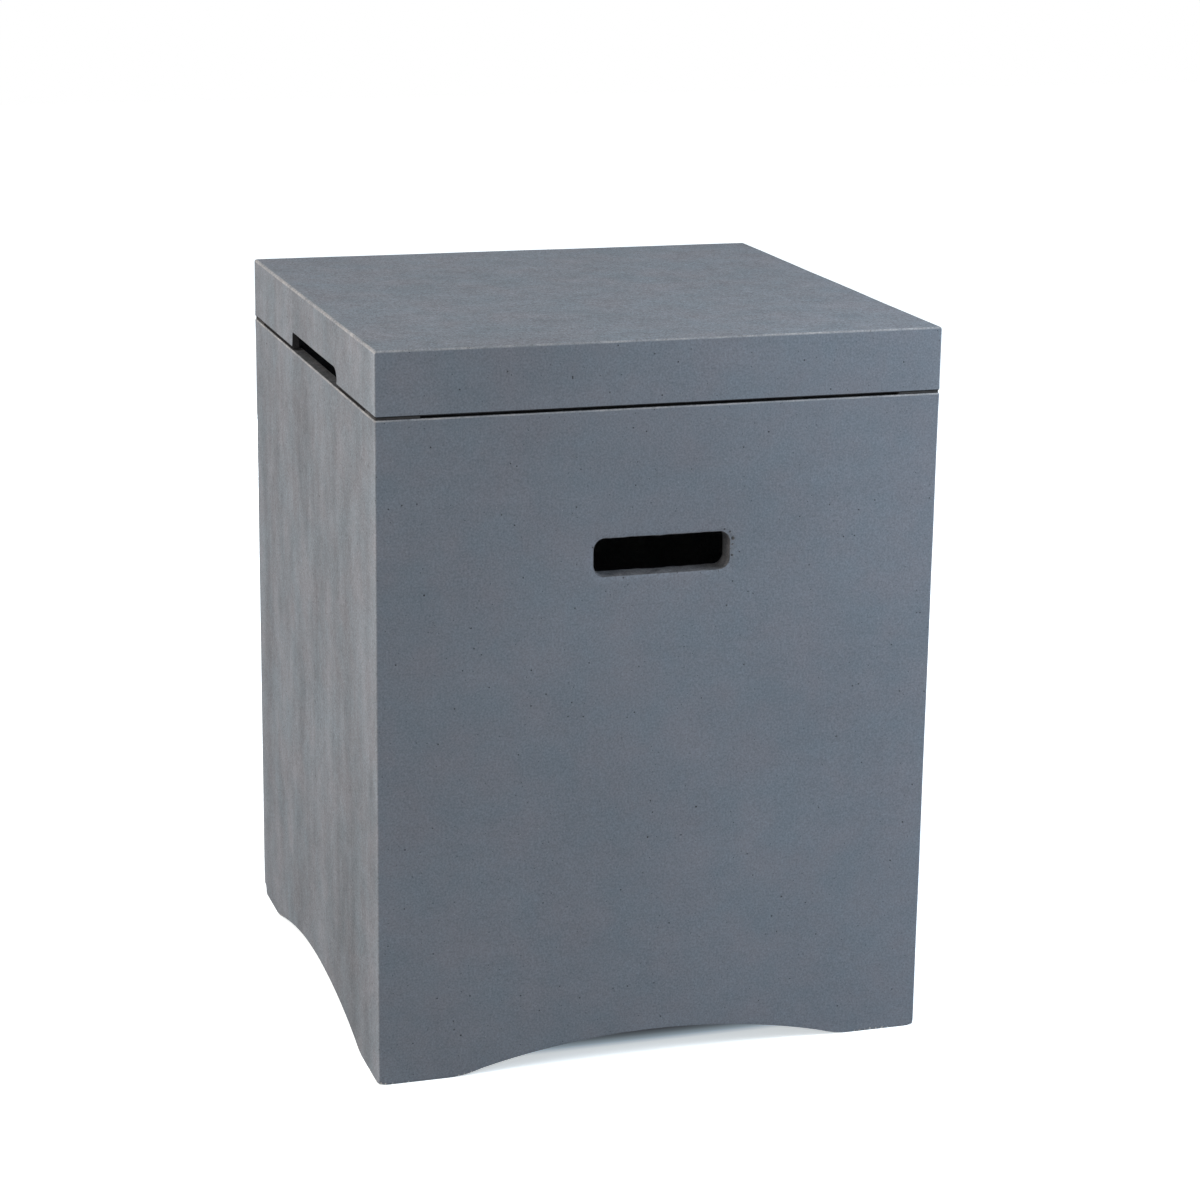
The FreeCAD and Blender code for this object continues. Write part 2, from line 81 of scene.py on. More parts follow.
# %% Camera
CAMERA_PLACE = (-0.7327, -2.3864, 0.9910)
CAMERA_TURN = (74.916, -0.728, -17.344)
CAMERA_LENS = 92.3

camera_data = bpy.data.cameras.new("studio_camera")
camera_data.lens = CAMERA_LENS
camera_data.sensor_width = 36
camera = bpy.data.objects.new("studio_camera", camera_data)
camera.location = CAMERA_PLACE
camera.rotation_euler = [math.radians(angle) for angle in CAMERA_TURN]
bpy.context.scene.collection.objects.link(camera)
bpy.context.scene.camera = camera
print("camera", round(Vector(CAMERA_PLACE).length, 2), "m away")

# %% [markdown]
# ## The floor
# A studio sweep photographs as plain white paper with only the table's soft shadow left on
# it. Pouring more light on it would bleach the table too. So the paper is a mid grey for the
# light that bounces about, and white only for what the camera sees of it, which keeps the
# shadow and leaves the light on the table alone. The paper also glows a little for the
# camera, in its own colour, so that it stays white out to the horizon. A colour ramp makes
# that colour from the distance to the table's middle part, and paints a shadow into it:
# nearly black under the table, a cold grey just behind the arches, and white from the feet
# outwards.

# %% A helper for node trees
def add(tree, kind, options=None, sockets=None):
    """Adds a node, sets its options, and fills its inputs with values or other outputs."""
    made = tree.nodes.new(kind)
    for name, value in (options or {}).items():
        setattr(made, name, value)
    for name, value in (sockets or {}).items():
        socket = made.inputs[name]
        if isinstance(value, bpy.types.NodeSocket):
            tree.links.new(value, socket)
        else:
            socket.default_value = value
    return made


def new_material(name):
    """An empty material with its output node, ready for a surface."""
    material = bpy.data.materials.new(name)
    material.use_nodes = True
    material.node_tree.nodes.clear()
    output = material.node_tree.nodes.new("ShaderNodeOutputMaterial")
    return material, material.node_tree, output


def spread(tree, value, low, high, to_low, to_high, way="LINEAR"):
    """Stretches the range from low to high out to to_low and to_high, and stops there."""
    made = add(tree, "ShaderNodeMapRange", {"clamp": True, "interpolation_type": way}, {
        "Value": value, "From Min": low, "From Max": high, "To Min": to_low, "To Max": to_high})
    return made.outputs["Result"]


def maths(tree, operation, first, second=0.0):
    """One step of arithmetic, on numbers or on what other nodes give."""
    return add(tree, "ShaderNodeMath", {"operation": operation}, {0: first, 1: second}).outputs[0]


def times(tree, first, second):
    return maths(tree, "MULTIPLY", first, second)


def plus(tree, first, second):
    return maths(tree, "ADD", first, second)


def vector_maths(tree, operation, first, second=(0, 0, 0)):
    """The same for three numbers at once."""
    return add(tree, "ShaderNodeVectorMath", {"operation": operation},
               {0: first, 1: second}).outputs["Vector"]


print("node helpers are ready")

# %% The floor
BOUNCED_GREY = (0.50, 0.50, 0.50, 1)
# Painted shadow: these tones darken the paper under the table and tint it cold behind the arches
PAPER_AND_SHADOW_TONES = ((0.0, (0.030, 0.032, 0.036, 1)), (0.26, (0.060, 0.064, 0.073, 1)),
              (0.49, (0.160, 0.188, 0.213, 1)), (0.71, (0.357, 0.435, 0.496, 1)),
              (0.83, (0.58, 0.667, 0.747, 1)), (1.0, (0.92, 0.97, 1.0, 1)))
PAINTED_SHADOW_STARTS_INSIDE = 0.060
PAINTED_SHADOW_REACH = 0.035
NEAR_GLOW = 0.60
FAR_GLOW = 0.25
FAR_GLOW_STARTS = 0.20
FAR_GLOW_FULL = 1.2
FLOOR_SIZE = 14

paper, tree, output = new_material("studio_paper")
ray = add(tree, "ShaderNodeLightPath")
seen = ray.outputs["Is Camera Ray"]
spot = add(tree, "ShaderNodeTexCoord")
folded = vector_maths(tree, "ABSOLUTE", spot.outputs["Object"])
past = vector_maths(tree, "SUBTRACT", folded, (HALF_WIDTH - PAINTED_SHADOW_STARTS_INSIDE,
                                               HALF_DEPTH - PAINTED_SHADOW_STARTS_INSIDE, 0))
away = add(tree, "ShaderNodeVectorMath", {"operation": "LENGTH"},
           {0: vector_maths(tree, "MAXIMUM", past)}).outputs["Value"]
beyond_painted_shadow = spread(tree, away, 0, PAINTED_SHADOW_REACH, 0, 1)
# The ramp paints the shadow under the table into the paper's colour for the camera
paper_shadow_ramp = add(tree, "ShaderNodeValToRGB", None, {"Fac": beyond_painted_shadow})
stops = paper_shadow_ramp.color_ramp.elements
while len(stops) < len(PAPER_AND_SHADOW_TONES):
    stops.new(1.0)
for stop, (position, colour) in zip(stops, PAPER_AND_SHADOW_TONES):
    stop.position = position
    stop.color = colour
far_part = spread(tree, away, FAR_GLOW_STARTS, FAR_GLOW_FULL, 0, FAR_GLOW, "SMOOTHSTEP")
strength = times(tree, plus(tree, NEAR_GLOW, far_part), seen)
glow = add(tree, "ShaderNodeEmission", None, {
    "Color": paper_shadow_ramp.outputs["Color"], "Strength": strength})
tone = add(tree, "ShaderNodeMix", {"data_type": "RGBA"}, {"Factor": seen})
tone.inputs[6].default_value = BOUNCED_GREY
tree.links.new(paper_shadow_ramp.outputs["Color"], tone.inputs[7])
matt = add(tree, "ShaderNodeBsdfDiffuse", None, {"Color": tone.outputs[2]})
both_lights = add(tree, "ShaderNodeAddShader", None, {0: matt.outputs[0], 1: glow.outputs[0]})
tree.links.new(both_lights.outputs[0], output.inputs["Surface"])

bpy.ops.object.select_all(action="DESELECT")
bpy.ops.mesh.primitive_plane_add(size=FLOOR_SIZE, location=(0, 0, 0))
floor = bpy.context.object
floor.name = "studio_floor"
floor.data.materials.append(paper)
print("floor", floor.dimensions.x, "m wide")

# %% [markdown]
# ## The light
# The left side of the table is the brightest and a little warm, the top comes next, and the
# front is dimmer and cool, and brightens a little towards the right. That is one large warm
# softbox at the left and above, a small cool one at the right, a little above the lid and
# near enough for its light to fade across the front, and a pale cool room. A weak third one,
# low behind the table, only lifts its back. The room is the world colour: it lights the
# table at its own level, and what the camera or a shiny screw sees of it is plain white.

# %% Light
ROOM_LIGHT = (0.325, 0.365, 0.400, 1)
# Name, place, the point it faces, side in metres, watts and tint
LAMPS = (("key_softbox", (-2.26, -0.36, 1.52), (0, 0, 0.3), 2.4, 82, (0.985, 0.87, 0.75)),
         ("fill_softbox", (0.92, -0.58, 0.82), (0.35, 0.05, 0.1), 0.6, 12, (0.82, 0.91, 1.0)),
         ("rear_softbox", (0.40, 2.30, 0.30), (0, 0, 0.28), 0.5, 13, (0.92, 0.97, 1.0)))

world = bpy.data.worlds.new("studio_room")
world.use_nodes = True
tree = world.node_tree
tree.nodes.clear()
ray = add(tree, "ShaderNodeLightPath")
seen = maths(tree, "MAXIMUM", ray.outputs["Is Camera Ray"], ray.outputs["Is Glossy Ray"])
shown = maths(tree, "MAXIMUM", seen, ray.outputs["Is Transmission Ray"])
room = add(tree, "ShaderNodeBackground", None, {"Color": ROOM_LIGHT, "Strength": 1})
white = add(tree, "ShaderNodeBackground", None, {"Color": (1, 1, 1, 1), "Strength": 1})
either = add(tree, "ShaderNodeMixShader", None, {
    0: shown, 1: room.outputs[0], 2: white.outputs[0]})
add(tree, "ShaderNodeOutputWorld", None, {"Surface": either.outputs[0]})
bpy.context.scene.world = world


def softbox(name, place, aim, side, power, tint):
    """A square lamp that faces a point and that the camera doesn't see."""
    data = bpy.data.lights.new(name, "AREA")
    data.shape = "SQUARE"
    data.size = side
    data.energy = power
    data.color = tint
    lamp = bpy.data.objects.new(name, data)
    lamp.location = place
    lamp.rotation_euler = (Vector(place) - Vector(aim)).to_track_quat("Z", "Y").to_euler()
    lamp.visible_camera = False
    bpy.context.scene.collection.objects.link(lamp)
    print(name, "at", place, "with", power, "W")


for lamp in LAMPS:
    softbox(*lamp)
bpy.context.scene.view_settings.view_transform = "Standard"

# %% [markdown]
# ## The concrete's finish
# The real surface is a slate grey mix cast against a smooth mould. Close to, it has a fine
# sandy grain, soft clouds that turn a little blue or a little rosy, pinholes where air
# bubbles met the mould, and a few pale grains of sand. The sides carry faint upright streaks
# and the front faint slanting ones, where it was wiped. Next to the upright corners the sides
# are rubbed a little paler, and the lid's sides are paler towards the front. A
# photograph could be wrapped round it, but it would repeat and tear at the edges. Noise that
# fills space does neither, and all its patterns read the same object coordinates, so they
# run on round a corner.
#
# The bubbles are the neat part. A Voronoi pattern scatters points through the solid, and the
# distance to the nearest point is a cloud of small balls. Where the surface happens to cut
# a ball there is a hole, large or small by chance, as in the real mix. The hole dents the
# bump, and its near-black colour is painted shade for its inside.

# %% Small steps for the concrete
def noise(tree, where, scale, detail=2.0, roughness=0.5):
    """Soft noise, with its grain size in patterns to the metre."""
    made = add(tree, "ShaderNodeTexNoise", None, {
        "Vector": where, "Scale": scale, "Detail": detail, "Roughness": roughness})
    return made.outputs["Fac"]


def swing(tree, pattern, reach, middle=0.0):
    """Noise made to swing about a middle value, by so much up and down."""
    return spread(tree, pattern, 0.25, 0.75, middle - reach, middle + reach)


def blend_colours(tree, share, first, second, way="MIX"):
    """Mixes two colours, which may be values or the outputs of other nodes."""
    made = add(tree, "ShaderNodeMix", {"data_type": "RGBA", "blend_type": way}, {"Factor": share})
    for socket, colour in ((made.inputs[6], first), (made.inputs[7], second)):
        if isinstance(colour, bpy.types.NodeSocket):
            tree.links.new(colour, socket)
        else:
            socket.default_value = colour
    return made.outputs[2]


def balls(tree, where, scale, radius, shift):
    """1 inside small balls scattered through space, 0 outside them, radius in metres."""
    moved = add(tree, "ShaderNodeMapping", None, {"Vector": where, "Location": shift})
    cells = add(tree, "ShaderNodeTexVoronoi", {"feature": "F1"}, {
        "Vector": moved.outputs["Vector"], "Scale": scale, "Randomness": 1.0})
    return spread(tree, cells.outputs["Distance"],
                  0.7 * radius * scale, 1.15 * radius * scale, 1, 0)


def streaked(tree, where, scale, stretch, turn=0.0):
    """Noise drawn out along one line, from -1 to 1."""
    drawn = add(tree, "ShaderNodeMapping", None, {
        "Vector": where, "Rotation": (0, math.radians(turn), 0), "Scale": stretch})
    return spread(tree, noise(tree, drawn.outputs["Vector"], scale, 4, 0.6), 0.3, 0.7, -1, 1)


def lit_surface(tree, output, colour, dull, height, depth, specular, metal=0.0):
    """The last nodes of every solid material: a bump and the shader, joined to the output."""
    bump = add(tree, "ShaderNodeBump", None, {
        "Height": height, "Strength": 1.0, "Distance": depth})
    shader = add(tree, "ShaderNodeBsdfPrincipled", None, {
        "Base Color": colour, "Roughness": dull, "Normal": bump.outputs["Normal"]})
    shader.inputs["Metallic"].default_value = metal
    shader.inputs["Specular IOR Level"].default_value = specular
    tree.links.new(shader.outputs["BSDF"], output.inputs["Surface"])


print("the concrete's small steps are ready")

# %% The concrete itself
BLUE_CLOUD = (0.147, 0.174, 0.207, 1)
ROSY_CLOUD = (0.160, 0.173, 0.202, 1)
# Painted shade: near black in the pinholes, for the shade inside them
PINHOLE_SHADE = (0.028, 0.030, 0.034, 1)
SAND_TONE = (0.36, 0.37, 0.38, 1)
PINHOLE_CELLS = 78
PINHOLE_RADIUS = 0.66 * MM
SMALL_PINHOLE_CELLS = 150
SMALL_PINHOLE_RADIUS = 0.40 * MM
SAND_CELLS = 95
SAND_RADIUS = 0.36 * MM
RUBBED_REACH = 24 * MM
RUBBED_PALER = 0.17
FRONT_PALER_REACH = 120 * MM
FRONT_PALER = 0.20
CONCRETE_SHINE = 0.32
# Noise, in patterns to the metre
GRAIN, MOTTLE, PATCHES, DRIFT, DULLNESS = 640, 240, 46, 5.5, 60
# Upright streaks: patterns to the metre, how far they are drawn out, how strong they are
STREAKS = ((85, 0.13, 0.055), (30, 0.22, 0.11), (13, 0.30, 0.15))


def concrete(name, blue=BLUE_CLOUD, rosy=ROSY_CLOUD, cloud_scale=22, grain_depth=0.2 * MM,
             streaks=1.0):
    """Cast concrete with clouds between two tones, grain, wiping streaks, pinholes and sand."""
    material, tree, output = new_material(name)
    place = add(tree, "ShaderNodeTexCoord")
    where = place.outputs["Object"]
    part = add(tree, "ShaderNodeSeparateXYZ", None, {"Vector": where})
    normal = add(tree, "ShaderNodeSeparateXYZ", None, {"Vector": place.outputs["Normal"]})
    sideways = maths(tree, "ABSOLUTE", normal.outputs["X"])
    off_front = spread(tree, maths(tree, "ABSOLUTE", normal.outputs["Y"]), 0, 1, 1, 0)
    lying = maths(tree, "ABSOLUTE", normal.outputs["Z"])

    cloud = noise(tree, where, cloud_scale, 5, 0.62)
    colour = blend_colours(tree, spread(tree, cloud, 0.36, 0.64, 0, 1), blue, rosy)

    grain = noise(tree, where, GRAIN, 3, 0.7)
    mottle = noise(tree, where, MOTTLE, 2, 0.5)
    patches = noise(tree, where, PATCHES, 4, 0.6)
    light = spread(tree, noise(tree, where, DRIFT, 3), 0.3, 0.7, 0.95, 1.05)
    for pattern, reach in ((patches, 0.035), (mottle, 0.04), (grain, 0.26)):
        light = times(tree, light, swing(tree, pattern, reach, 1))

    upright = 0.0
    for scale, stretch, reach in STREAKS:
        streak = streaked(tree, where, scale, (1, 1, stretch))
        upright = plus(tree, upright, times(tree, streak, reach * streaks))
    upright = times(tree, upright, sideways)
    slanting = times(tree, streaked(tree, where, 90, (0.14, 1, 1), -24), 0.018 * streaks)
    from_middle = maths(tree, "ABSOLUTE", part.outputs["Y"])
    at_corner = spread(tree, from_middle, HALF_DEPTH - RUBBED_REACH, HALF_DEPTH - 2 * MM,
                       0, RUBBED_PALER * streaks)
    # The lid's sides are paler towards the front
    towards_front = spread(tree, part.outputs["Y"], -HALF_DEPTH, FRONT_PALER_REACH - HALF_DEPTH, FRONT_PALER, 0)
    on_lid = spread(tree, part.outputs["Z"], shell_high.z, lid_low.z, 0, 1)
    paler_sides = times(tree, plus(tree, at_corner, times(tree, towards_front, on_lid)), sideways)
    sanded = plus(tree, swing(tree, mottle, 0.09), swing(tree, grain, 0.17))
    sanded = times(tree, sanded, plus(tree, off_front, lying))
    sanded = plus(tree, sanded, times(tree, swing(tree, patches, 0.09), off_front))
    marks = plus(tree, plus(tree, upright, slanting), plus(tree, plus(tree, paler_sides, sanded), 1.0))
    colour = blend_colours(tree, 1.0, colour, times(tree, light, marks), "MULTIPLY")

    large = balls(tree, where, PINHOLE_CELLS, PINHOLE_RADIUS, (0.31, 0.07, 0.53))
    small = balls(tree, where, SMALL_PINHOLE_CELLS, SMALL_PINHOLE_RADIUS, (0.11, 0.83, 0.29))
    holes = maths(tree, "MAXIMUM", large, small)
    sand = balls(tree, where, SAND_CELLS, SAND_RADIUS, (0.71, 0.43, 0.17))
    colour = blend_colours(tree, times(tree, sand, 0.5), colour, SAND_TONE)
    # Painted shade in the pinholes
    colour = blend_colours(tree, times(tree, holes, 0.8), colour, PINHOLE_SHADE)

    height = plus(tree, times(tree, grain, 0.75), times(tree, mottle, 0.45))
    height = plus(tree, height, times(tree, holes, -3.0))
    dull = spread(tree, noise(tree, where, DULLNESS, 3), 0.3, 0.7, 0.72, 0.86)
    lit_surface(tree, output, colour, dull, height, grain_depth, CONCRETE_SHINE)
    return material


skin = concrete("cast_concrete_skin")
arris = concrete("cast_concrete_arris", (0.197, 0.214, 0.240, 1), (0.288, 0.294, 0.308, 1),
                 48, 0.22 * MM, 0.4)
raw = concrete("cast_concrete_raw", (0.106, 0.114, 0.126, 1), (0.136, 0.139, 0.146, 1),
               40, 0.32 * MM, 0.5)
# Painted shade: the rim seen through the notches, coloured dark for the shade there
rim_shade = concrete("cast_concrete_rim_shade", (0.022, 0.026, 0.032, 1), (0.064, 0.069, 0.078, 1),
                   120, 0.5 * MM, 0.0)
# Painted shade: near black, for the gap, the notches and the rim under the lid
deep_shade = concrete("cast_concrete_deep_shade", (0.006, 0.007, 0.009, 1), (0.018, 0.019, 0.022, 1),
                 90, 0.3 * MM, 0.0)
handled = concrete("cast_concrete_handled", (0.058, 0.063, 0.072, 1), (0.100, 0.104, 0.114, 1),
                   110, 0.45 * MM, 0.0)
chipped = concrete("cast_concrete_chipped", (0.36, 0.36, 0.36, 1), (0.56, 0.55, 0.53, 1),
                   90, 0.40 * MM, 0.0)
# Painted shade: the dark lining of the pits
pit_shade = concrete("cast_concrete_pit_shade", (0.040, 0.044, 0.050, 1), (0.070, 0.072, 0.078, 1),
                  60, 0.30 * MM, 0.0)
# The slots that they take on the shell. The lid has the first three, and deep shade as its fourth
SKIN, ARRIS, RAW, RIM_SHADE, HANDLED, DEEP_SHADE = range(6)
DEEP_SHADE_ON_LID = 3
print("concrete finishes:", ", ".join(finish.name for finish in (
    skin, arris, raw, rim_shade, handled, deep_shade, chipped, pit_shade)))

# %% [markdown]
# ## Helpers for modelling by hand
# Each operator works on what is selected. So the first helpers leave one piece selected and
# nothing else, and the others open it in edit mode with only those faces, edges or points
# selected that a small test asks for, by their place or their direction.

# %% Selecting
def put_down():
    """Leaves edit mode and deselects everything, so that nothing is changed by mistake."""
    if bpy.context.mode != "OBJECT":
        bpy.ops.object.mode_set(mode="OBJECT")
    bpy.ops.object.select_all(action="DESELECT")


def take(piece):
    """Selects one piece alone, in object mode."""
    put_down()
    bpy.context.view_layer.objects.active = piece
    piece.select_set(True)


def choose(piece, kind, wanted):
    """Opens the piece with the points, edges or faces selected that a test wants. The test is
    given one of them and all the points, and the number that it wants is given back."""
    take(piece)
    kinds = ("vertices", "edges", "polygons")
    bpy.context.tool_settings.mesh_select_mode = [kind == other for other in kinds]
    for other in kinds:
        elements = getattr(piece.data, other)
        elements.foreach_set("select", [False] * len(elements))
    points = piece.data.vertices
    chosen = [element for element in getattr(piece.data, kind) if wanted(element, points)]
    for element in chosen:
        element.select = True
    bpy.ops.object.mode_set(mode="EDIT")
    return len(chosen)


def edit_faces(piece, wanted):
    """Opens the piece with the faces selected for which wanted(centre, normal) is true."""
    choose(piece, "polygons", lambda face, points: wanted(face.center, face.normal))


def edit_edges(piece, wanted):
    """Opens the piece with the edges selected for which wanted(one end, other end) is true."""
    return choose(piece, "edges",
                  lambda edge, points: wanted(*(points[end].co for end in edge.vertices)))


def edit_points(piece, wanted):
    """Opens the piece with the points selected for which wanted(place) is true."""
    choose(piece, "vertices", lambda point, points: wanted(point.co))


def edit_all(piece):
    """Opens the piece with everything selected."""
    take(piece)
    bpy.ops.object.mode_set(mode="EDIT")
    bpy.ops.mesh.select_all(action="SELECT")


print("selection helpers are ready")

# %% [markdown]
# The next helpers are the steps that come back on every piece: a block or a rod to start
# from, a modifier, a cut with another shape, a slice that adds a line of edges, an extrusion,
# a rounded edge and a new finish. The small tests among them say which edges are meant.

# %% Shaping
TOUCH = 0.05 * MM
X, Y = 0, 1


def settle(piece):
    """Moves a piece's place, turn and scale into its mesh."""
    take(piece)
    bpy.ops.object.transform_apply(location=True, rotation=True, scale=True)


def named(name, finish=None, scale=(1, 1, 1)):
    """Names the primitive that was just added, and gives it its finish and its scale."""
    piece = bpy.context.object
    piece.name = name
    piece.scale = scale
    settle(piece)
    if finish is not None:
        piece.data.materials.append(finish)
    return piece


def block(name, low, high, finish=None):
    """A cube primitive stretched between two corners, with its place in its mesh."""
    low, high = Vector(low), Vector(high)
    put_down()
    bpy.ops.mesh.primitive_cube_add(size=1, location=(low + high) / 2)
    return named(name, finish, high - low)


def rod(name, radius, low, high, finish=None, sides=32, x=0.0, y=0.0):
    """An upright cylinder primitive between two levels."""
    put_down()
    bpy.ops.mesh.primitive_cylinder_add(vertices=sides, radius=radius, depth=high - low,
                                        location=(x, y, (low + high) / 2))
    return named(name, finish)


def modify(piece, kind, **settings):
    """Adds a modifier to the piece, sets it up and applies it."""
    take(piece)
    bpy.ops.object.modifier_add(type=kind)
    modifier = piece.modifiers[-1]
    for name, value in settings.items():
        setattr(modifier, name, value)
    bpy.ops.object.modifier_apply(modifier=modifier.name)


def cut_away(piece, cutter):
    """Cuts the cutter's shape out of the piece, with the cutter's finish, and removes it."""
    modify(piece, "BOOLEAN", operation="DIFFERENCE", solver="EXACT", material_mode="TRANSFER",
           object=cutter)
    bpy.data.objects.remove(cutter)
    print(piece.name, "now has", len(piece.data.polygons), "faces")


def slice_at(piece, place, direction, wanted=None):
    """Cuts a line of edges through the piece, or through the faces that a test wants."""
    if wanted is None:
        edit_all(piece)
    else:
        edit_faces(piece, wanted)
    bpy.ops.mesh.bisect(plane_co=place, plane_no=direction)
    take(piece)


def extrude(*move):
    """Extrudes what is selected, by a move along X, Y and Z."""
    bpy.ops.mesh.extrude_region_move(TRANSFORM_OT_translate={"value": move})


def near(first, second):
    return abs(first - second) < TOUCH


def at_level(a, b, level):
    return near(a.z, level) and near(b.z, level)


def on_plane(a, b, axis, distance):
    """True for an edge that lies at a distance from the middle, to either side."""
    return near(abs(a[axis]), distance) and near(a[axis], b[axis])


def round_over(piece, wanted, radius, segments, finish=-1):
    """Bevels the edges that a test wants, and gives the new faces one of the piece's slots."""
    count = edit_edges(piece, wanted)
    bpy.ops.mesh.bevel(offset=radius, segments=segments, affect="EDGES", material=finish)
    take(piece)
    print(piece.name, "rounded", count, "edges to", round(radius / MM, 2), "mm")


def paint(piece, wanted, finish):
    """Gives the faces that a test wants one of the piece's slots."""
    edit_faces(piece, wanted)
    piece.active_material_index = finish
    bpy.ops.object.material_slot_assign()
    take(piece)


print("shaping helpers are ready")

# %% [markdown]
# ## The shell's four walls
# The shell is one casting, 12 mm thick, open at the top and the bottom, with corners that
# are tight outside and wide inside. Solidify would thicken a tube, but it would carry the
# tight corner inwards and pinch it. So the outer and the inner wall are two open tubes, each
# with its own corner radius, and Bridge joins their ends into the flat rims. Both corners
# get the same number of segments, so that the rims are clean fans of four-sided faces. The
# upper rim, where the lid's rubber sits, is painted dark, as painted shade under the lid.
# Most of it is painted near black later, as deeper painted shade, when the lid's notches
# are known.

# %% Walls
CORNER_SEGMENTS = 6
SHELL_TOP = shell_high.z
SHELL_FOOT = shell_low.z


def is_upright(a, b):
    return near(a.x, b.x) and near(a.y, b.y) and not near(a.z, b.z)


def open_tube(name, inset, radius):
    """A block as tall as the shell, open at both ends, with its upright corners rounded."""
    step = Vector((inset, inset, 0))
    tube = block(name, shell_low + step, shell_high - step)
    edit_faces(tube, lambda centre, normal: abs(normal.z) > 0.9)
    bpy.ops.mesh.delete(type="ONLY_FACE")
    round_over(tube, is_upright, radius, CORNER_SEGMENTS)
    return tube


shell = open_tube("cast_shell", 0, UPRIGHT_ROUND)
lining = open_tube("lining", WALL, INNER_CORNER_ROUND)
for finish in (skin, arris, raw, rim_shade, handled, deep_shade):
    shell.data.materials.append(finish)
lining.data.materials.append(raw)
edit_all(lining)
bpy.ops.mesh.flip_normals()
take(shell)
lining.select_set(True)
bpy.ops.object.join()
for level in (SHELL_TOP, SHELL_FOOT):
    edit_edges(shell, lambda a, b: at_level(a, b, level))
    bpy.ops.mesh.bridge_edge_loops()
# Painted shade: the upper rim is coloured dark for the shade under the lid
paint(shell, lambda centre, normal: near(centre.z, SHELL_TOP), RIM_SHADE)
print("walls:", len(shell.data.polygons), "faces")

# %% [markdown]
# ## The hand slots
# A hand slot with round corners goes through the front wall, and one through the back. The
# wall is thicker round each, where hands pull on it. That is an oblong of the inner face,
# marked out by slicing only that face, and extruded inwards.

# %% Thicker round the slots
SLOT_WIDTH = 110 * MM
SLOT_HEIGHT = 30 * MM
SLOT_CORNER = 8 * MM
SLOT_LEVEL = 413 * MM
SLOT_PLAY = 0.9 * MM
FRAME_EXTRA = 7 * MM
FRAME_BORDER = 18 * MM
FRAME_ROUND = 2.5 * MM
OVERCUT = 30 * MM
lining_face = HALF_DEPTH - WALL
frame_x = SLOT_WIDTH / 2 + FRAME_BORDER
frame_z = SLOT_HEIGHT / 2 + FRAME_BORDER


def is_lining(centre, normal):
    return near(abs(centre.y), lining_face) and abs(normal.y) > 0.9


def is_slot_frame(centre, normal):
    return (is_lining(centre, normal) and abs(centre.x) < frame_x
            and abs(centre.z - SLOT_LEVEL) < frame_z)


for side in (-1, 1):
    slice_at(shell, (side * frame_x, 0, 0), (1, 0, 0), is_lining)
    slice_at(shell, (0, 0, SLOT_LEVEL + side * frame_z), (0, 0, 1), is_lining)
for side in (-1, 1):
    edit_faces(shell, lambda centre, normal: is_slot_frame(centre, normal) and centre.y * side > 0)
    extrude(0, -side * FRAME_EXTRA, 0)
slot_back = lining_face - FRAME_EXTRA
round_over(shell, lambda a, b: on_plane(a, b, Y, slot_back), FRAME_ROUND, 3, RAW)

# %% [markdown]
# Both slots have the same place, so one long bar cuts the two at once. It is a cube whose
# four long edges are bevelled to the corner's radius, and the Boolean leaves its own finish
# inside the slot, because that is bare concrete, darkened by hands, that never met the
# polished mould. The bar is a little smaller than the slot, for the roughness that comes
# later.

# %% Slots
bar_x = SLOT_WIDTH / 2 - SLOT_PLAY
bar_z = SLOT_HEIGHT / 2 - SLOT_PLAY
slot_bar = block("slot_bar", (-bar_x, -HALF_DEPTH - OVERCUT, SLOT_LEVEL - bar_z),
                 (bar_x, HALF_DEPTH + OVERCUT, SLOT_LEVEL + bar_z), handled)
round_over(slot_bar, lambda a, b: near(a.x, b.x) and near(a.z, b.z), SLOT_CORNER, 9)
cut_away(shell, slot_bar)

# %% [markdown]
# ## The arches
# The bottom edge of each wall rises in a long shallow arch and eases into the feet. An arch
# is a sweep, and Spin makes it: a rail that lies across the table is swung round the centre
# of the first easing curve, then round the far lower centre of the crown, and then round
# the last easing curve. The swept sheet, pushed down, is a cutter for two arches at once.
# A copy turned by a quarter cuts the other two.

# %% Arches
ARCH_EASE = 80 * MM
ARCH_CROWN = 585.6 * MM
ARCH_CROWN_LEVEL = -563.6 * MM
EASE_STEPS = 6
CROWN_STEPS = 30
ARCH_TOP = ARCH_CROWN + ARCH_CROWN_LEVEL
ARCH_FOOT = math.sqrt((ARCH_CROWN + ARCH_EASE) ** 2 - (ARCH_EASE - ARCH_CROWN_LEVEL) ** 2)
ease_angle = math.atan2(ARCH_FOOT, ARCH_EASE - ARCH_CROWN_LEVEL)
rail_length = 2 * (HALF_DEPTH + OVERCUT)


def spin_rail(centre_x, centre_z, angle, steps, turn):
    """Swings the selected rail round a line along Y, and leaves its new end selected.
    Seen from the front, a turn of 1 goes against the clock and -1 with it."""
    bpy.ops.mesh.spin(steps=steps, angle=angle, axis=(0, turn, 0), center=(centre_x, 0, centre_z))


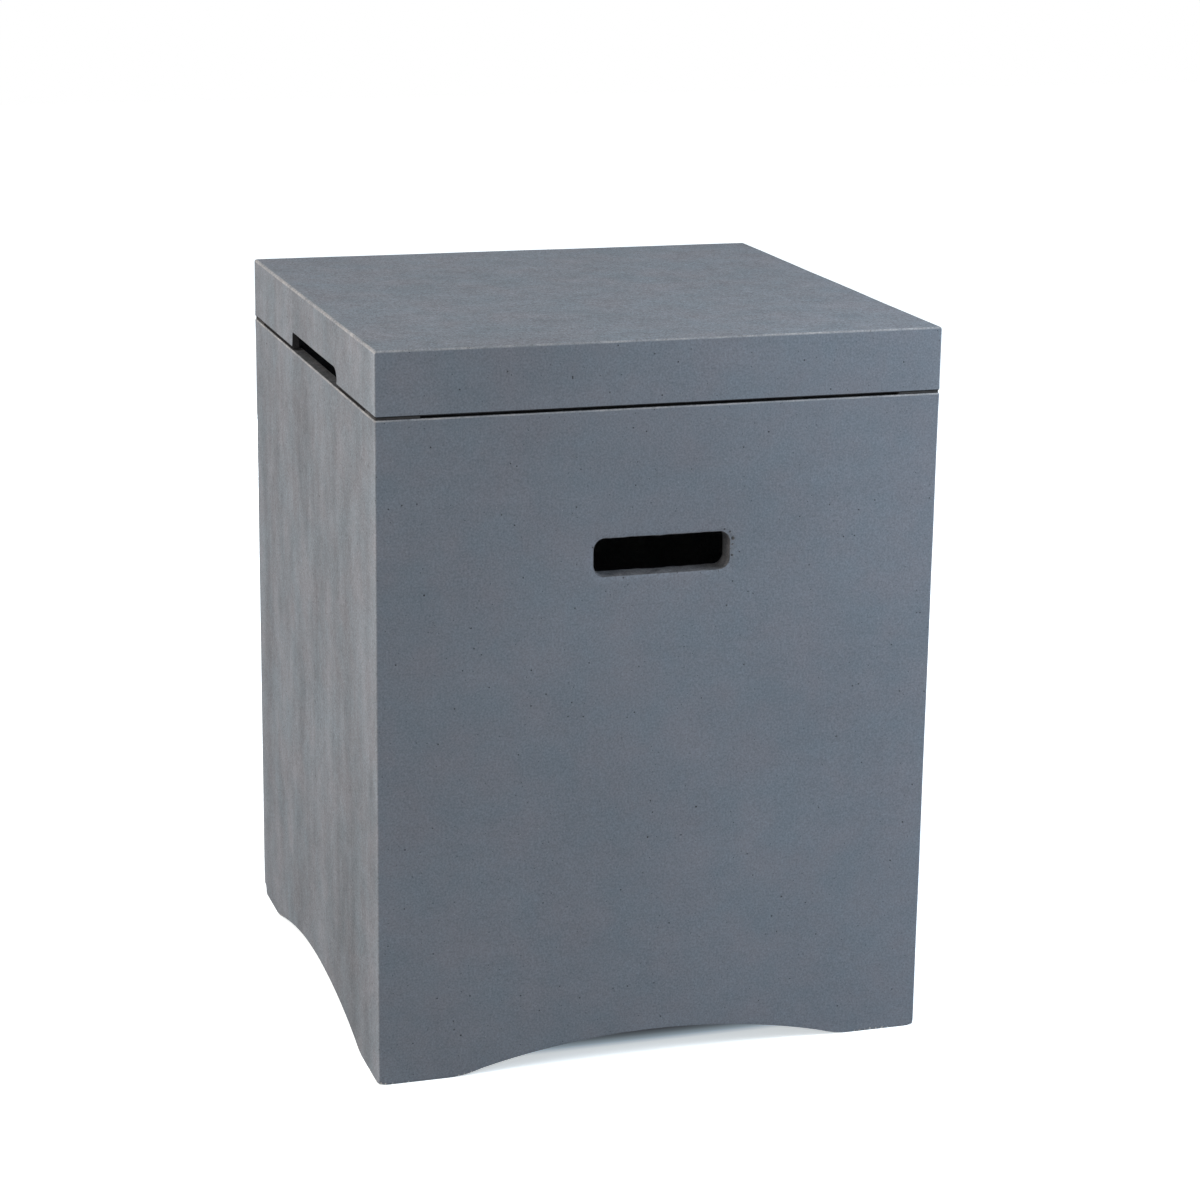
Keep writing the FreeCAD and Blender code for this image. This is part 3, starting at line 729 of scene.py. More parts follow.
put_down()
bpy.ops.mesh.primitive_plane_add(size=rail_length, location=(-ARCH_FOOT - rail_length / 2, 0, 0))
arch_bar = named("arch_bar", raw)
edit_edges(arch_bar, lambda a, b: max(a.x, b.x) < -ARCH_FOOT - rail_length / 2)
bpy.ops.mesh.delete(type="VERT")
bpy.ops.mesh.select_all(action="SELECT")
spin_rail(-ARCH_FOOT, ARCH_EASE, ease_angle, EASE_STEPS, 1)
spin_rail(0, ARCH_CROWN_LEVEL, 2 * ease_angle, CROWN_STEPS, -1)
spin_rail(ARCH_FOOT, ARCH_EASE, ease_angle, EASE_STEPS, 1)
bpy.ops.mesh.select_all(action="SELECT")
bpy.ops.mesh.remove_doubles(threshold=0.001 * MM)
extrude(0, 0, -2 * OVERCUT)
bpy.ops.mesh.select_all(action="SELECT")
bpy.ops.mesh.normals_make_consistent(inside=False)
take(arch_bar)
print("arch rises to", round(max(v.co.z for v in arch_bar.data.vertices) / MM, 2), "mm")

bpy.ops.object.duplicate()
cross_bar = bpy.context.object
cross_bar.rotation_euler.z = math.radians(90)
settle(cross_bar)
cut_away(shell, arch_bar)
cut_away(shell, cross_bar)

# %% [markdown]
# ## Soft edges on the shell
# Cast concrete never has a knife edge. The mould's corners leave a small round, and rubbing
# wears it paler than the faces. Each group of edges is bevelled by itself, because the real
# ones differ: the top rim, the slots' outer edges, which fingers wear, and the arches and
# feet. The bevel gives its new faces their finish in the same step.

# %% Shell edges
RIM_ROUND = 1.2 * MM
SLOT_ROUND = 1.1 * MM
FOOT_ROUND = 0.9 * MM
INSIDE_ROUND = 1 * MM
INNER_RIM_ROUND = 4 * MM


def on_outside(point):
    """True on the outer faces and on the rounds at the upright corners."""
    past_x = abs(point.x) > HALF_WIDTH - UPRIGHT_ROUND - TOUCH
    past_y = abs(point.y) > HALF_DEPTH - UPRIGHT_ROUND - TOUCH
    return past_x or past_y


def in_slot_band(point):
    return (abs(point.x) < SLOT_WIDTH / 2 + TOUCH
            and abs(point.z - SLOT_LEVEL) < SLOT_HEIGHT / 2 + TOUCH)


def both(test, a, b):
    return test(a) and test(b)


def is_top_rim(a, b):
    return at_level(a, b, SHELL_TOP) and both(on_outside, a, b)


def is_inner_rim(a, b):
    return at_level(a, b, SHELL_TOP) and not on_outside(a) and not on_outside(b)


def is_slot_mouth(a, b):
    return on_plane(a, b, Y, HALF_DEPTH) and both(in_slot_band, a, b)


def is_slot_back(a, b):
    return on_plane(a, b, Y, slot_back) and both(in_slot_band, a, b)


def is_foot_or_arch(a, b):
    low = max(a.z, b.z) < ARCH_TOP + 0.1 * MM
    return low and both(on_outside, a, b)


round_over(shell, is_top_rim, RIM_ROUND, 3, ARRIS)
round_over(shell, is_inner_rim, INNER_RIM_ROUND, 4, RAW)
round_over(shell, is_slot_mouth, SLOT_ROUND, 3, HANDLED)
round_over(shell, is_slot_back, INSIDE_ROUND, 2, HANDLED)
round_over(shell, is_foot_or_arch, FOOT_ROUND, 2, SKIN)
print("shell with soft edges:", len(shell.data.polygons), "faces")

# %% [markdown]
# ## The lid
# The lid is an upside-down tray with a solid block in each corner, where the guides are
# screwed on. Its underside is a square with its four corners left standing. Cutting it with
# Booleans would work, but there is a way that keeps the mesh clean: the block is sliced
# along the lines of the walls and the corner blocks, the faces between them are selected,
# and one extrude pushes them up into the block. The lid then has its hollow, its walls and
# its corner blocks at once.

# %% Lid hollow
LID_TOP_THICKNESS = 12 * MM
CORNER_BLOCK = 34 * MM
CORNER_BLOCK_ROUND = 8 * MM
CEILING_ROUND = 5 * MM
LID_BASE = lid_low.z
ceiling = lid_high.z - LID_TOP_THICKNESS
wall_line = HALF_WIDTH - WALL
block_line = wall_line - CORNER_BLOCK


def in_hollow(centre, normal):
    x, y = abs(centre.x), abs(centre.y)
    return normal.z < -0.9 and max(x, y) < wall_line and min(x, y) < block_line


def is_lid_inside(centre, normal):
    facing_in = centre.x * normal.x + centre.y * normal.y < -0.1 * MM
    return (facing_in or normal.z < -0.9) and centre.z > LID_BASE + 0.1 * MM


lid = block("cast_lid", lid_low, lid_high)
for finish in (skin, arris, raw, deep_shade):
    lid.data.materials.append(finish)
for line in (-wall_line, -block_line, block_line, wall_line):
    slice_at(lid, (line, 0, 0), (1, 0, 0))
    slice_at(lid, (0, line, 0), (0, 1, 0))
edit_faces(lid, in_hollow)
extrude(0, 0, ceiling - LID_BASE)
paint(lid, is_lid_inside, RAW)
round_over(lid, lambda a, b: is_upright(a, b) and near(abs(a.x), block_line)
           and near(abs(a.y), block_line), CORNER_BLOCK_ROUND, 6, RAW)
edit_faces(lid, lambda centre, normal: normal.z < -0.9 and near(centre.z, ceiling))
bpy.ops.mesh.region_to_loop()
bpy.ops.mesh.bevel(offset=CEILING_ROUND, segments=4, affect="EDGES", material=RAW)
take(lid)
print("lid with its hollow:", len(lid.data.polygons), "faces")

# %% [markdown]
# ## The lid's outside
# The upright corners are nearly sharp, the front and back of the top rim are a little softer,
# and its sides are the softest. One bevel for each would fray where three of them meet. So
# each edge gets a bevel weight, which is its share of one width, and a single Bevel modifier
# rounds them all and makes clean corners. The same bevel rounds the lower edges, more along
# the sides, where the lid is gripped, and these are painted near black, as painted shade
# that darkens the gap, like the rim below.

# %% Lid outside
LID_ROUND = 2.1 * MM
SIDE_SHARE = 1.0
FRONT_SHARE = 0.75
UPRIGHT_SHARE = 0.6
SIDE_UNDER_SHARE = 0.76
FRONT_UNDER_SHARE = 0.43
LID_TOP = lid_high.z


def weigh_edges(piece, wanted, share):
    """Adds to the bevel weight of the edges that a test wants."""
    edit_edges(piece, wanted)
    bpy.ops.transform.edge_bevelweight(value=share)
    take(piece)


def round_weighed(piece, width, segments, finish):
    """Rounds each edge to its weight's share of a width, and then clears the weights."""
    modify(piece, "BEVEL", limit_method="WEIGHT", width=width, segments=segments,
           material=finish)
    weigh_edges(piece, lambda a, b: True, -1)


for level, side_share, front_share in ((LID_TOP, SIDE_SHARE, FRONT_SHARE),
                                       (LID_BASE, SIDE_UNDER_SHARE, FRONT_UNDER_SHARE)):
    weigh_edges(lid, lambda a, b: at_level(a, b, level) and on_plane(a, b, X, HALF_WIDTH),
                side_share)
    weigh_edges(lid, lambda a, b: at_level(a, b, level) and on_plane(a, b, Y, HALF_DEPTH),
                front_share)
weigh_edges(lid, lambda a, b: is_upright(a, b) and near(abs(a.x), HALF_WIDTH)
            and near(abs(a.y), HALF_DEPTH), UPRIGHT_SHARE)
round_weighed(lid, LID_ROUND, 4, ARRIS)
paint(lid, lambda centre, normal: abs(normal.x) > 0.05 and abs(normal.y) > 0.05
      and abs(normal.z) < 0.02 and abs(centre.x) > wall_line and abs(centre.y) > wall_line, SKIN)
# Painted shade: the lower rounds are near black, to darken the gap
paint(lid, lambda centre, normal: centre.z < LID_BASE + LID_ROUND and normal.z < -0.05
      and max(abs(centre.x), abs(centre.y)) > HALF_WIDTH - LID_ROUND, DEEP_SHADE_ON_LID)
print("lid with soft edges:", len(lid.data.polygons), "faces")

# %% [markdown]
# One bar through both sides cuts the finger notches. The notch isn't symmetrical: it sits a
# little to the front, and its front end is rounder than its back end, so the bar's two upper
# edges are bevelled one by one. Behind each notch a pocket thins the wall from inside, so
# that fingertips can hook in. The lid's edges are rounded by now, while they are long and
# few: rounded after this cut, the lower ones would come out far thinner.

# %% Finger notches
NOTCH_BACK = 67.5 * MM
NOTCH_FRONT = -97.5 * MM
NOTCH_HEIGHT = 13 * MM
NOTCH_FRONT_ROUND = 11 * MM
NOTCH_BACK_ROUND = 3 * MM
NOTCH_ROUND = 0.4 * MM
NOTCH_WALL = 6 * MM
POCKET_MORE = 9 * MM
POCKET_ROUND = 4 * MM

# Painted shade: the bar leaves its near-black finish on the notch's inner faces
notch_bar = block("notch_bar", (-HALF_WIDTH - OVERCUT, NOTCH_FRONT, LID_BASE - OVERCUT),
                  (HALF_WIDTH + OVERCUT, NOTCH_BACK, LID_BASE + NOTCH_HEIGHT), deep_shade)
for end, radius in ((NOTCH_FRONT, NOTCH_FRONT_ROUND), (NOTCH_BACK, NOTCH_BACK_ROUND)):
    round_over(notch_bar, lambda a, b: near(a.y, end) and near(b.y, end)
               and near(a.z, b.z) and a.z > LID_BASE, radius, 7)
cut_away(lid, notch_bar)
for side in (-1, 1):
    ends = sorted((side * (wall_line - WALL / 2), side * (HALF_WIDTH - NOTCH_WALL)))
    pocket = block("pocket", (ends[0], NOTCH_FRONT - POCKET_MORE, LID_BASE - OVERCUT),
                   (ends[1], NOTCH_BACK + POCKET_MORE, LID_BASE + NOTCH_HEIGHT + POCKET_MORE), raw)
    round_over(pocket, lambda a, b: min(a.z, b.z) > LID_BASE, POCKET_ROUND, 3)
    cut_away(lid, pocket)


def is_notch_mouth(a, b):
    high = max(a.z, b.z)
    return (high < LID_BASE + NOTCH_HEIGHT + 0.1 * MM and high > LID_BASE + LID_ROUND
            and on_plane(a, b, X, HALF_WIDTH))


# Painted shade: the notch's mouth is rounded in near black
round_over(lid, is_notch_mouth, NOTCH_ROUND, 2, DEEP_SHADE_ON_LID)
print("lid with its notches:", len(lid.data.polygons), "faces")

# %% [markdown]
# Under the lid the shell's rim is painted nearly black, as painted shade. Only below the
# notches it keeps its lighter painted shade.

# %% Painted shade on the rim
for line in (NOTCH_FRONT, NOTCH_BACK):
    slice_at(shell, (0, line, 0), (0, 1, 0))
# Painted shade: near black on the rim, except below the notches
paint(shell, lambda centre, normal: near(centre.z, SHELL_TOP)
      and not (abs(centre.x) > wall_line and NOTCH_FRONT < centre.y < NOTCH_BACK), DEEP_SHADE)
print("rim sliced at the notches:", len(shell.data.polygons), "faces")

# %% [markdown]
# ## Sockets for the threaded inserts
# Each corner block holds a brass insert, cast in. Its socket is a plain round hole from
# below, as wide and as deep as the insert, read from the frame.

# %% Insert sockets
insert_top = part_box("lid_inserts")[1].z
guide_low, guide_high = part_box("guide_back_right")
GUIDE_X = (guide_low.x + guide_high.x) / 2
GUIDE_Y = (guide_low.y + guide_high.y) / 2
INSERT_RADIUS = 3.5 * MM
SOCKET_PLAY = 0.05 * MM

for x_side, y_side in CORNERS.values():
    cut_away(lid, rod("socket_cutter", INSERT_RADIUS + SOCKET_PLAY, LID_BASE - OVERCUT,
                      insert_top, raw, 32, x_side * GUIDE_X, y_side * GUIDE_Y))

# %% [markdown]
# ## A net of small faces
# The castings are still drawn with as few faces as their outlines need. What comes next
# wants points all over: the walls of a real casting are never quite true. So both pieces are
# sliced by planes a thumb's width apart along all three directions. Subdividing would follow
# the long thin faces that the Booleans left. Slicing leaves an even net whatever they are.
# The feet get a few more slices near their corners, where they will be worn.

# %% Net
NET_SPACING = 15.4 * MM
NET_START = 7.3 * MM
WEAR_SLICES = (2.6 * MM, 5.2 * MM, 8.4 * MM)


def net(piece):
    """Slices the piece by evenly spaced planes across X, Y and Z."""
    corners = [Vector(corner) for corner in piece.bound_box]
    edit_all(piece)
    for axis in range(3):
        low = min(corner[axis] for corner in corners)
        high = max(corner[axis] for corner in corners)
        direction = [1.0 if axis == other else 0.0 for other in range(3)]
        place = low + NET_START
        while place < high:
            bpy.ops.mesh.select_all(action="SELECT")
            bpy.ops.mesh.bisect(plane_co=[place * part for part in direction], plane_no=direction)
            place += NET_SPACING
    take(piece)
    print(piece.name, "net:", len(piece.data.polygons), "faces")


for piece in (shell, lid):
    net(piece)
for inset in WEAR_SLICES:
    slice_at(shell, (0, 0, SHELL_FOOT + inset), (0, 0, 1))
    for side in (-1, 1):
        slice_at(shell, (side * (HALF_WIDTH - inset), 0, 0), (1, 0, 0))
        slice_at(shell, (0, side * (HALF_DEPTH - inset), 0), (0, 1, 0))
print("shell with slices at the feet:", len(shell.data.polygons), "faces")

# %% [markdown]
# ## Walls that aren't quite true
# A mould gives a little when it is filled, and the faces wander by a few tenths of a
# millimetre. It can't be measured by eye, but it keeps a long edge from looking drawn with a
# ruler and gives a flat face its soft changes of tone. Displace does it with a cloud pattern
# that only ever pushes inwards, so that nothing leaves the frame. A vertex group keeps it
# off the seats, which are true: the feet, and the rims that meet at the rubber pads.

# %% Uneven walls
SWELL_DEPTH = 0.45 * MM
SWELL_SIZE = 90 * MM
SEAT_MARGIN = 3 * MM


def clouds(name, size, detail):
    """A cloud pattern for Displace, with its grain size in metres."""
    pattern = bpy.data.textures.new(name, "CLOUDS")
    pattern.noise_scale = size
    pattern.noise_depth = detail
    return pattern


def push_in(piece, wanted, pattern, depth, still):
    """Moves the points that a test wants along their normals, by a pattern. The tone called
    still moves nothing, and darker ones push inwards."""
    edit_points(piece, wanted)
    bpy.ops.object.vertex_group_assign_new()
    take(piece)
    modify(piece, "DISPLACE", texture=pattern, texture_coords="LOCAL",
           vertex_group=piece.vertex_groups[-1].name, strength=depth, mid_level=still)
    bpy.ops.object.vertex_group_remove(all=True)


swell = clouds("mould_swell", SWELL_SIZE, 2)
push_in(shell, lambda place: SHELL_FOOT + SEAT_MARGIN < place.z < SHELL_TOP - SEAT_MARGIN,
        swell, SWELL_DEPTH, 1.0)
push_in(lid, lambda place: place.z > LID_BASE + SEAT_MARGIN, swell, SWELL_DEPTH, 1.0)
print("walls pushed in by up to", SWELL_DEPTH / MM, "mm")

# %% [markdown]
# ## Rough slots
# The slots are finished by hand and stay rough. More slices, only through the faces near
# each slot, give Displace points to work with there, and a finer pattern pushes the slot's
# inner faces and its worn mouth unevenly into the wall.

# %% Rough slots
SLOT_STEP = 3.5 * MM
SLOT_ROUGHNESS = 1.8 * MM
SLOT_GRAIN = 7 * MM
SLOT_BORDER = 1.5 * MM
SLOT_STILL = 0.85
SLOT_NET_REACH = 8 * MM
SLICES_ACROSS, SLICES_UP = 17, 5
SLICES_INWARDS = (3 * MM, 6 * MM, 9 * MM, 12 * MM, 15 * MM)


def by_slot(place, reach):
    return (abs(place.x) < SLOT_WIDTH / 2 + reach and abs(place.z - SLOT_LEVEL)
            < SLOT_HEIGHT / 2 + reach and abs(place.y) > slot_back - 1 * MM)


def slice_by_slot(place, direction):
    slice_at(shell, place, direction, lambda centre, normal: by_slot(centre, SLOT_NET_REACH))


for step in range(-SLICES_ACROSS, SLICES_ACROSS + 1):
    slice_by_slot((step * SLOT_STEP, 0, 0), (1, 0, 0))
for step in range(-SLICES_UP, SLICES_UP + 1):
    slice_by_slot((0, 0, SLOT_LEVEL + step * SLOT_STEP), (0, 0, 1))
for inset in SLICES_INWARDS:
    for side in (-1, 1):
        slice_by_slot((0, side * (HALF_DEPTH - inset), 0), (0, 1, 0))
chisel = clouds("slot_roughness", SLOT_GRAIN, 3)
push_in(shell, lambda place: by_slot(place, SLOT_BORDER), chisel, SLOT_ROUGHNESS, SLOT_STILL)
print("shell with rough slots:", len(shell.data.polygons), "faces")

# %% [markdown]
# ## Worn feet
# Each time the table is set down it lands on a corner first, and that corner is gone. A
# bevel would cut it as clean as a new one. Proportional editing is closer to wear: the points
# of the corner are pulled in and up, and those around them follow, less and less.

# %% Worn feet
WORN_IN = 1.5 * MM
WORN_UP = 2.6 * MM
WORN_REACH = 9 * MM
FOOT_CORNER = 2.5 * MM
WORN_SHARE = {"front_left": 0.28, "front_right": 0.3, "back_left": 1.0, "back_right": 0.8}


def is_foot_corner(place, x_side, y_side):
    return (place.z < 1 * MM and x_side * place.x > HALF_WIDTH - FOOT_CORNER
            and y_side * place.y > HALF_DEPTH - FOOT_CORNER)


for corner, (x_side, y_side) in CORNERS.items():
    share = WORN_SHARE[corner]
    edit_points(shell, lambda place: is_foot_corner(place, x_side, y_side))
    bpy.ops.transform.translate(
        value=(-x_side * WORN_IN * share, -y_side * WORN_IN * share, WORN_UP * share),
        use_proportional_edit=True, proportional_edit_falloff="SMOOTH",
        proportional_size=WORN_REACH * (0.3 + 0.7 * share))
take(shell)
print("feet worn by up to", WORN_UP / MM, "mm")

# %% [markdown]
# ## Pits and chips
# The larger air bubbles leave open pits that catch the light, and along the feet small
# chips have broken out of the edge. Painting them would look right from one side only. So
# each is cut by a small uneven ball: all the balls of one kind are added to a single mesh in
# edit mode, shaken a little so that none is round, and taken away in one Boolean. A ray from
# outside finds the place of each on the uneven wall. The random numbers start from a fixed
# seed, so the table is the same each time.

# %% Small balls on a surface
PIT_SMALLEST = 0.38 * MM
PIT_LARGEST = 0.95 * MM
PIT_SHAKE = 0.07 * MM
PIT_OUT = 0.2
PIT_APART = 1.4
START_OFF = 50 * MM
random.seed(11)


def ball_cluster(name, spots, finish, shake):
    """One mesh of small uneven balls, each with its middle and its radius."""
    put_down()
    bpy.context.view_layer.update()
    middle, radius = spots[0]
    bpy.ops.mesh.primitive_ico_sphere_add(subdivisions=2, radius=radius, location=middle)
    cluster = named(name, finish)
    bpy.ops.object.mode_set(mode="EDIT")
    for middle, radius in spots[1:]:
        bpy.ops.mesh.primitive_ico_sphere_add(
            subdivisions=2, radius=radius, location=middle,
            scale=(1, random.uniform(0.6, 1), random.uniform(0.7, 1)),
            rotation=[random.uniform(0, math.pi) for axis in range(3)])
    bpy.ops.mesh.select_all(action="SELECT")
    bpy.ops.transform.vertex_random(offset=shake, seed=len(spots))
    take(cluster)
    return cluster


def has_room(spot, others, apart):
    """True where a ball keeps clear of the others, by so many times their two radii."""
    return all((spot[0] - other).length > apart * (spot[1] + reach) for other, reach in others)


def pit_spots(piece, count, way, low, high):
    """Places for pits on the side of a piece that is met along way, between two corners."""
    way = Vector(way)
    spots = []
    while len(spots) < count:
        place = Vector([random.uniform(low[axis], high[axis]) for axis in range(3)])
        found, point = piece.ray_cast(place - way * START_OFF, way)[:2]
        radius = PIT_SMALLEST + (PIT_LARGEST - PIT_SMALLEST) * random.random() ** 2
        clear = has_room((point, radius), spots, PIT_APART)
        if found and clear and (point - place).length < 1 * MM:
            spots.append((point - way * PIT_OUT * radius, radius))
    return spots


print("ready to scatter pits")

# %% [markdown]
# Each of the shell's four walls gets the same number of pits. The lid gets a few on each side
# and some more on its top.

# %% Pits in the shell
PIT_MARGIN = 4 * MM
PITS_PER_WALL = 42
x_room, y_room = HALF_WIDTH - PIT_MARGIN, HALF_DEPTH - PIT_MARGIN


def wall_pits(piece, count, low, high):
    """Places for pits on a piece's four walls, between two levels."""
    spots = []
    for side in (-1, 1):
        y_wall, x_wall = side * HALF_DEPTH, side * HALF_WIDTH
        spots += pit_spots(piece, count, (0, -side, 0), (-x_room, y_wall, low),
                           (x_room, y_wall, high))
        spots += pit_spots(piece, count, (-side, 0, 0), (x_wall, -y_room, low),
                           (x_wall, y_room, high))
    return spots


spots = wall_pits(shell, PITS_PER_WALL, ARCH_TOP + PIT_MARGIN, SHELL_TOP - PIT_MARGIN)
# The pit balls leave their dark finish, painted shade, inside each pit
cut_away(shell, ball_cluster("pit_balls", spots, pit_shade, PIT_SHAKE))
print(len(spots), "pits in the shell")

# %% Pits in the lid
PITS_PER_SKIRT = 4
PITS_ON_TOP = 16

spots = pit_spots(lid, PITS_ON_TOP, (0, 0, -1), (-x_room, -y_room, LID_TOP),
                  (x_room, y_room, LID_TOP))
spots += wall_pits(lid, PITS_PER_SKIRT, LID_BASE + NOTCH_HEIGHT + PIT_MARGIN,
                   LID_TOP - PIT_MARGIN)
# The pit balls leave their dark finish, painted shade, inside each pit
cut_away(lid, ball_cluster("pit_balls", spots, pit_shade, PIT_SHAKE))
print(len(spots), "pits in the lid")

# %% [markdown]
# The chips along the front feet are listed one by one. Those on the other three sides
# are drawn at random, along the feet and the ends of the arches. Each chip's place is the
# point of the shell that is nearest to one outside, a little above the edge.

# %% Chips along the feet
# Each chip is a distance along the edge from the table's middle, and a radius
FRONT_CHIPS = ((-223.5, 1.5), (-219.8, 1.2), (-214, 0.9), (-201, 0.8), (-160.5, 1.3),
               (-156, 0.9), (-150, 0.8), (173, 1.1), (177.5, 1.5), (182, 1.1), (186.5, 1.6),
               (192, 1.2), (197, 1.4), (202, 0.9), (215, 0.8))
CHIPS_PER_EDGE = 8
CHIP_SMALLEST, CHIP_LARGEST = 0.7 * MM, 1.7 * MM
CHIP_SHAKE = 0.1 * MM
CHIP_OUT = 0.5
CHIP_RISE = 1.1 * MM
CHIP_APART = 1.2
CHIPS_PAST_ARCH = 30 * MM
CHIPS_OFF_CORNER = 3 * MM
STAND_OFF = 4 * MM


def lower_edge(along):
    """The height of the shell's lower edge at a distance from the middle of a side."""
    reach = abs(along)
    if reach >= ARCH_FOOT:
        return SHELL_FOOT
    if reach > ARCH_FOOT * ARCH_CROWN / (ARCH_CROWN + ARCH_EASE):
        return ARCH_EASE - math.sqrt(ARCH_EASE ** 2 - (ARCH_FOOT - reach) ** 2)
    return ARCH_CROWN_LEVEL + math.sqrt(ARCH_CROWN ** 2 - reach ** 2)


def chip_spot(piece, outside, radius):
    """The middle of a ball that bites into the piece's nearest edge from a point outside."""
    point = piece.closest_point_on_mesh(outside)[1]
    return point + (outside - point).normalized() * CHIP_OUT * radius, radius


def beside_edge(x_way, y_way, along):
    """A point outside and just above a side's lower edge, at a distance along that side."""
    off = HALF_WIDTH + STAND_OFF
    return Vector((x_way * off + y_way * along, y_way * off + x_way * along,
                   lower_edge(along) + CHIP_RISE))


spots = []
for along, radius in FRONT_CHIPS:
    spots.append(chip_spot(shell, beside_edge(0, -1, -along * MM), radius * MM))
for x_way, y_way in ((0, 1), (-1, 0), (1, 0)):
    for number in range(CHIPS_PER_EDGE):
        along = random.choice((-1, 1)) * random.uniform(ARCH_FOOT - CHIPS_PAST_ARCH,
                                                        HALF_WIDTH - CHIPS_OFF_CORNER)
        spot = chip_spot(shell, beside_edge(x_way, y_way, along),
                         random.uniform(CHIP_SMALLEST, CHIP_LARGEST))
        if has_room(spot, spots, CHIP_APART):
            spots.append(spot)
cut_away(shell, ball_cluster("chip_balls", spots, chipped, CHIP_SHAKE))
print(len(spots), "chips along the feet")

# %% [markdown]
# A few small chips are broken out beside each slot, at places found in the same way.

# %% Chips at the slots
# Each chip is so far to the right of the slot's middle and above it, and has a radius
SLOT_CHIPS = ((56, 9, 1.8), (54.6, 13.6, 1.4), (50, 15.3, 1.0), (56, 4.4, 1.3), (55.7, 0.6, 0.9),
              (55.5, -4.2, 1.2), (54, -10, 1.3), (46, -15, 0.9), (12, -15, 0.8), (-31, -15, 0.9))

spots = []
for side in (-1, 1):
    for right, up, radius in SLOT_CHIPS:
        outside = Vector((-side * right * MM, side * (HALF_DEPTH + STAND_OFF),
                          SLOT_LEVEL + up * MM))
        spots.append(chip_spot(shell, outside, radius * MM))
cut_away(shell, ball_cluster("slot_chip_balls", spots, handled, CHIP_SHAKE))
print(len(spots), "chips at the slots")

# %% [markdown]
# ## Rubber and metal finishes
# The pads and guides are moulded black rubber: dull, a little dusty, with the fine grain of
# the mould. The screws and washers are stainless steel that was turned on a lathe, which
# leaves fine rings round the axis, and the inserts are brass, gone a little brown. The rings
# need to know where the axis is. All four sets stand at mirrored places, so folding the
# coordinates with Absolute brings them to one corner, and a single Subtract puts the axis
# in the middle.

# %% Rubber, steel and brass
RINGS_TO_METRE = 900


def surface(name, colour, dull, height, depth, metal=0.0, specular=0.5):
    """A material whose colour, roughness and bump height are each made by a function."""
    material, tree, output = new_material(name)
    lit_surface(tree, output, colour(tree), dull(tree), height(tree), depth, specular, metal)
    return material


def here(tree):
    return add(tree, "ShaderNodeTexCoord").outputs["Object"]


def two_tones(first, second, scale):
    """A colour that wanders between two tones."""
    return lambda tree: blend_colours(
        tree, spread(tree, noise(tree, here(tree), scale, 4, 0.6), 0.38, 0.62, 0, 1),
        first, second)


def wandering(scale, low, high):
    """A number that wanders between two values."""
    return lambda tree: spread(tree, noise(tree, here(tree), scale, 3), 0.3, 0.7, low, high)


def lathe_rings(tree):
    """Fine rings round each screw's axis."""
    folded = vector_maths(tree, "ABSOLUTE", here(tree))
    centred = vector_maths(tree, "SUBTRACT", folded, (GUIDE_X, GUIDE_Y, 0))
    flat = vector_maths(tree, "MULTIPLY", centred, (1, 1, 0))
    rings = add(tree, "ShaderNodeTexWave", {
        "wave_type": "RINGS", "rings_direction": "SPHERICAL"}, {
        "Vector": flat, "Scale": RINGS_TO_METRE, "Distortion": 0.6, "Detail": 2})
    return rings.outputs["Fac"]


rubber = surface("moulded_rubber",
                 two_tones((0.010, 0.010, 0.011, 1), (0.021, 0.021, 0.022, 1), 160),
                 wandering(220, 0.55, 0.8), wandering(1400, 0, 1), 0.05 * MM, 0.0, 0.4)
steel = surface("turned_steel", two_tones((0.52, 0.52, 0.51, 1), (0.64, 0.63, 0.61, 1), 300),
                wandering(260, 0.26, 0.42), lathe_rings, 0.02 * MM, 1.0)
brass = surface("cast_in_brass", two_tones((0.62, 0.42, 0.17, 1), (0.74, 0.55, 0.26, 1), 240),
                wandering(260, 0.30, 0.50), lathe_rings, 0.02 * MM, 1.0)
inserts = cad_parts["lid_inserts"]
inserts.data.materials.clear()
inserts.data.materials.append(brass)
print("finishes:", rubber.name, steel.name, brass.name)

# %% [markdown]
# ## Rubber pads on the rim
# An L of sheet rubber under each corner of the lid carries it, keeps concrete off concrete
# and makes the black gap. It is a block with a second block taken out of its inner corner,
# its corners rounded as a stamp leaves them, and its upper and lower edges just broken.

# %% Pads
PAD_WIDTH = 10.4 * MM
PAD_CORNER = 1 * MM
PAD_EDGE = 0.2 * MM
pads = {}


def arm_line(side, low, high):
    """Where the inner edge of a pad's arm runs, along one axis."""
    return side * (max(abs(low), abs(high)) - PAD_WIDTH)


def cut_range(side, low, high):
    """The two ends, along one axis, of what is cut out of a pad."""
    beyond = side * (abs(low + high) / 2 - PAD_WIDTH - OVERCUT)
    return sorted((arm_line(side, low, high), beyond))


for corner, (x_side, y_side) in CORNERS.items():
    low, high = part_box("rest_pad_" + corner)
    pad = block("rubber_pad_" + corner, low, high, rubber)
    x_ends = cut_range(x_side, low.x, high.x)
    y_ends = cut_range(y_side, low.y, high.y)
    cut_away(pad, block("pad_cutter", (x_ends[0], y_ends[0], low.z - OVERCUT),
                        (x_ends[1], y_ends[1], high.z + OVERCUT), rubber))
    turn_x, turn_y = arm_line(x_side, low.x, high.x), arm_line(y_side, low.y, high.y)
    round_over(pad, lambda a, b: is_upright(a, b)
               and not (near(a.x, turn_x) and near(a.y, turn_y)), PAD_CORNER, 4)
    round_over(pad, lambda a, b: near(a.z, b.z), PAD_EDGE, 2)
    pads[corner] = pad

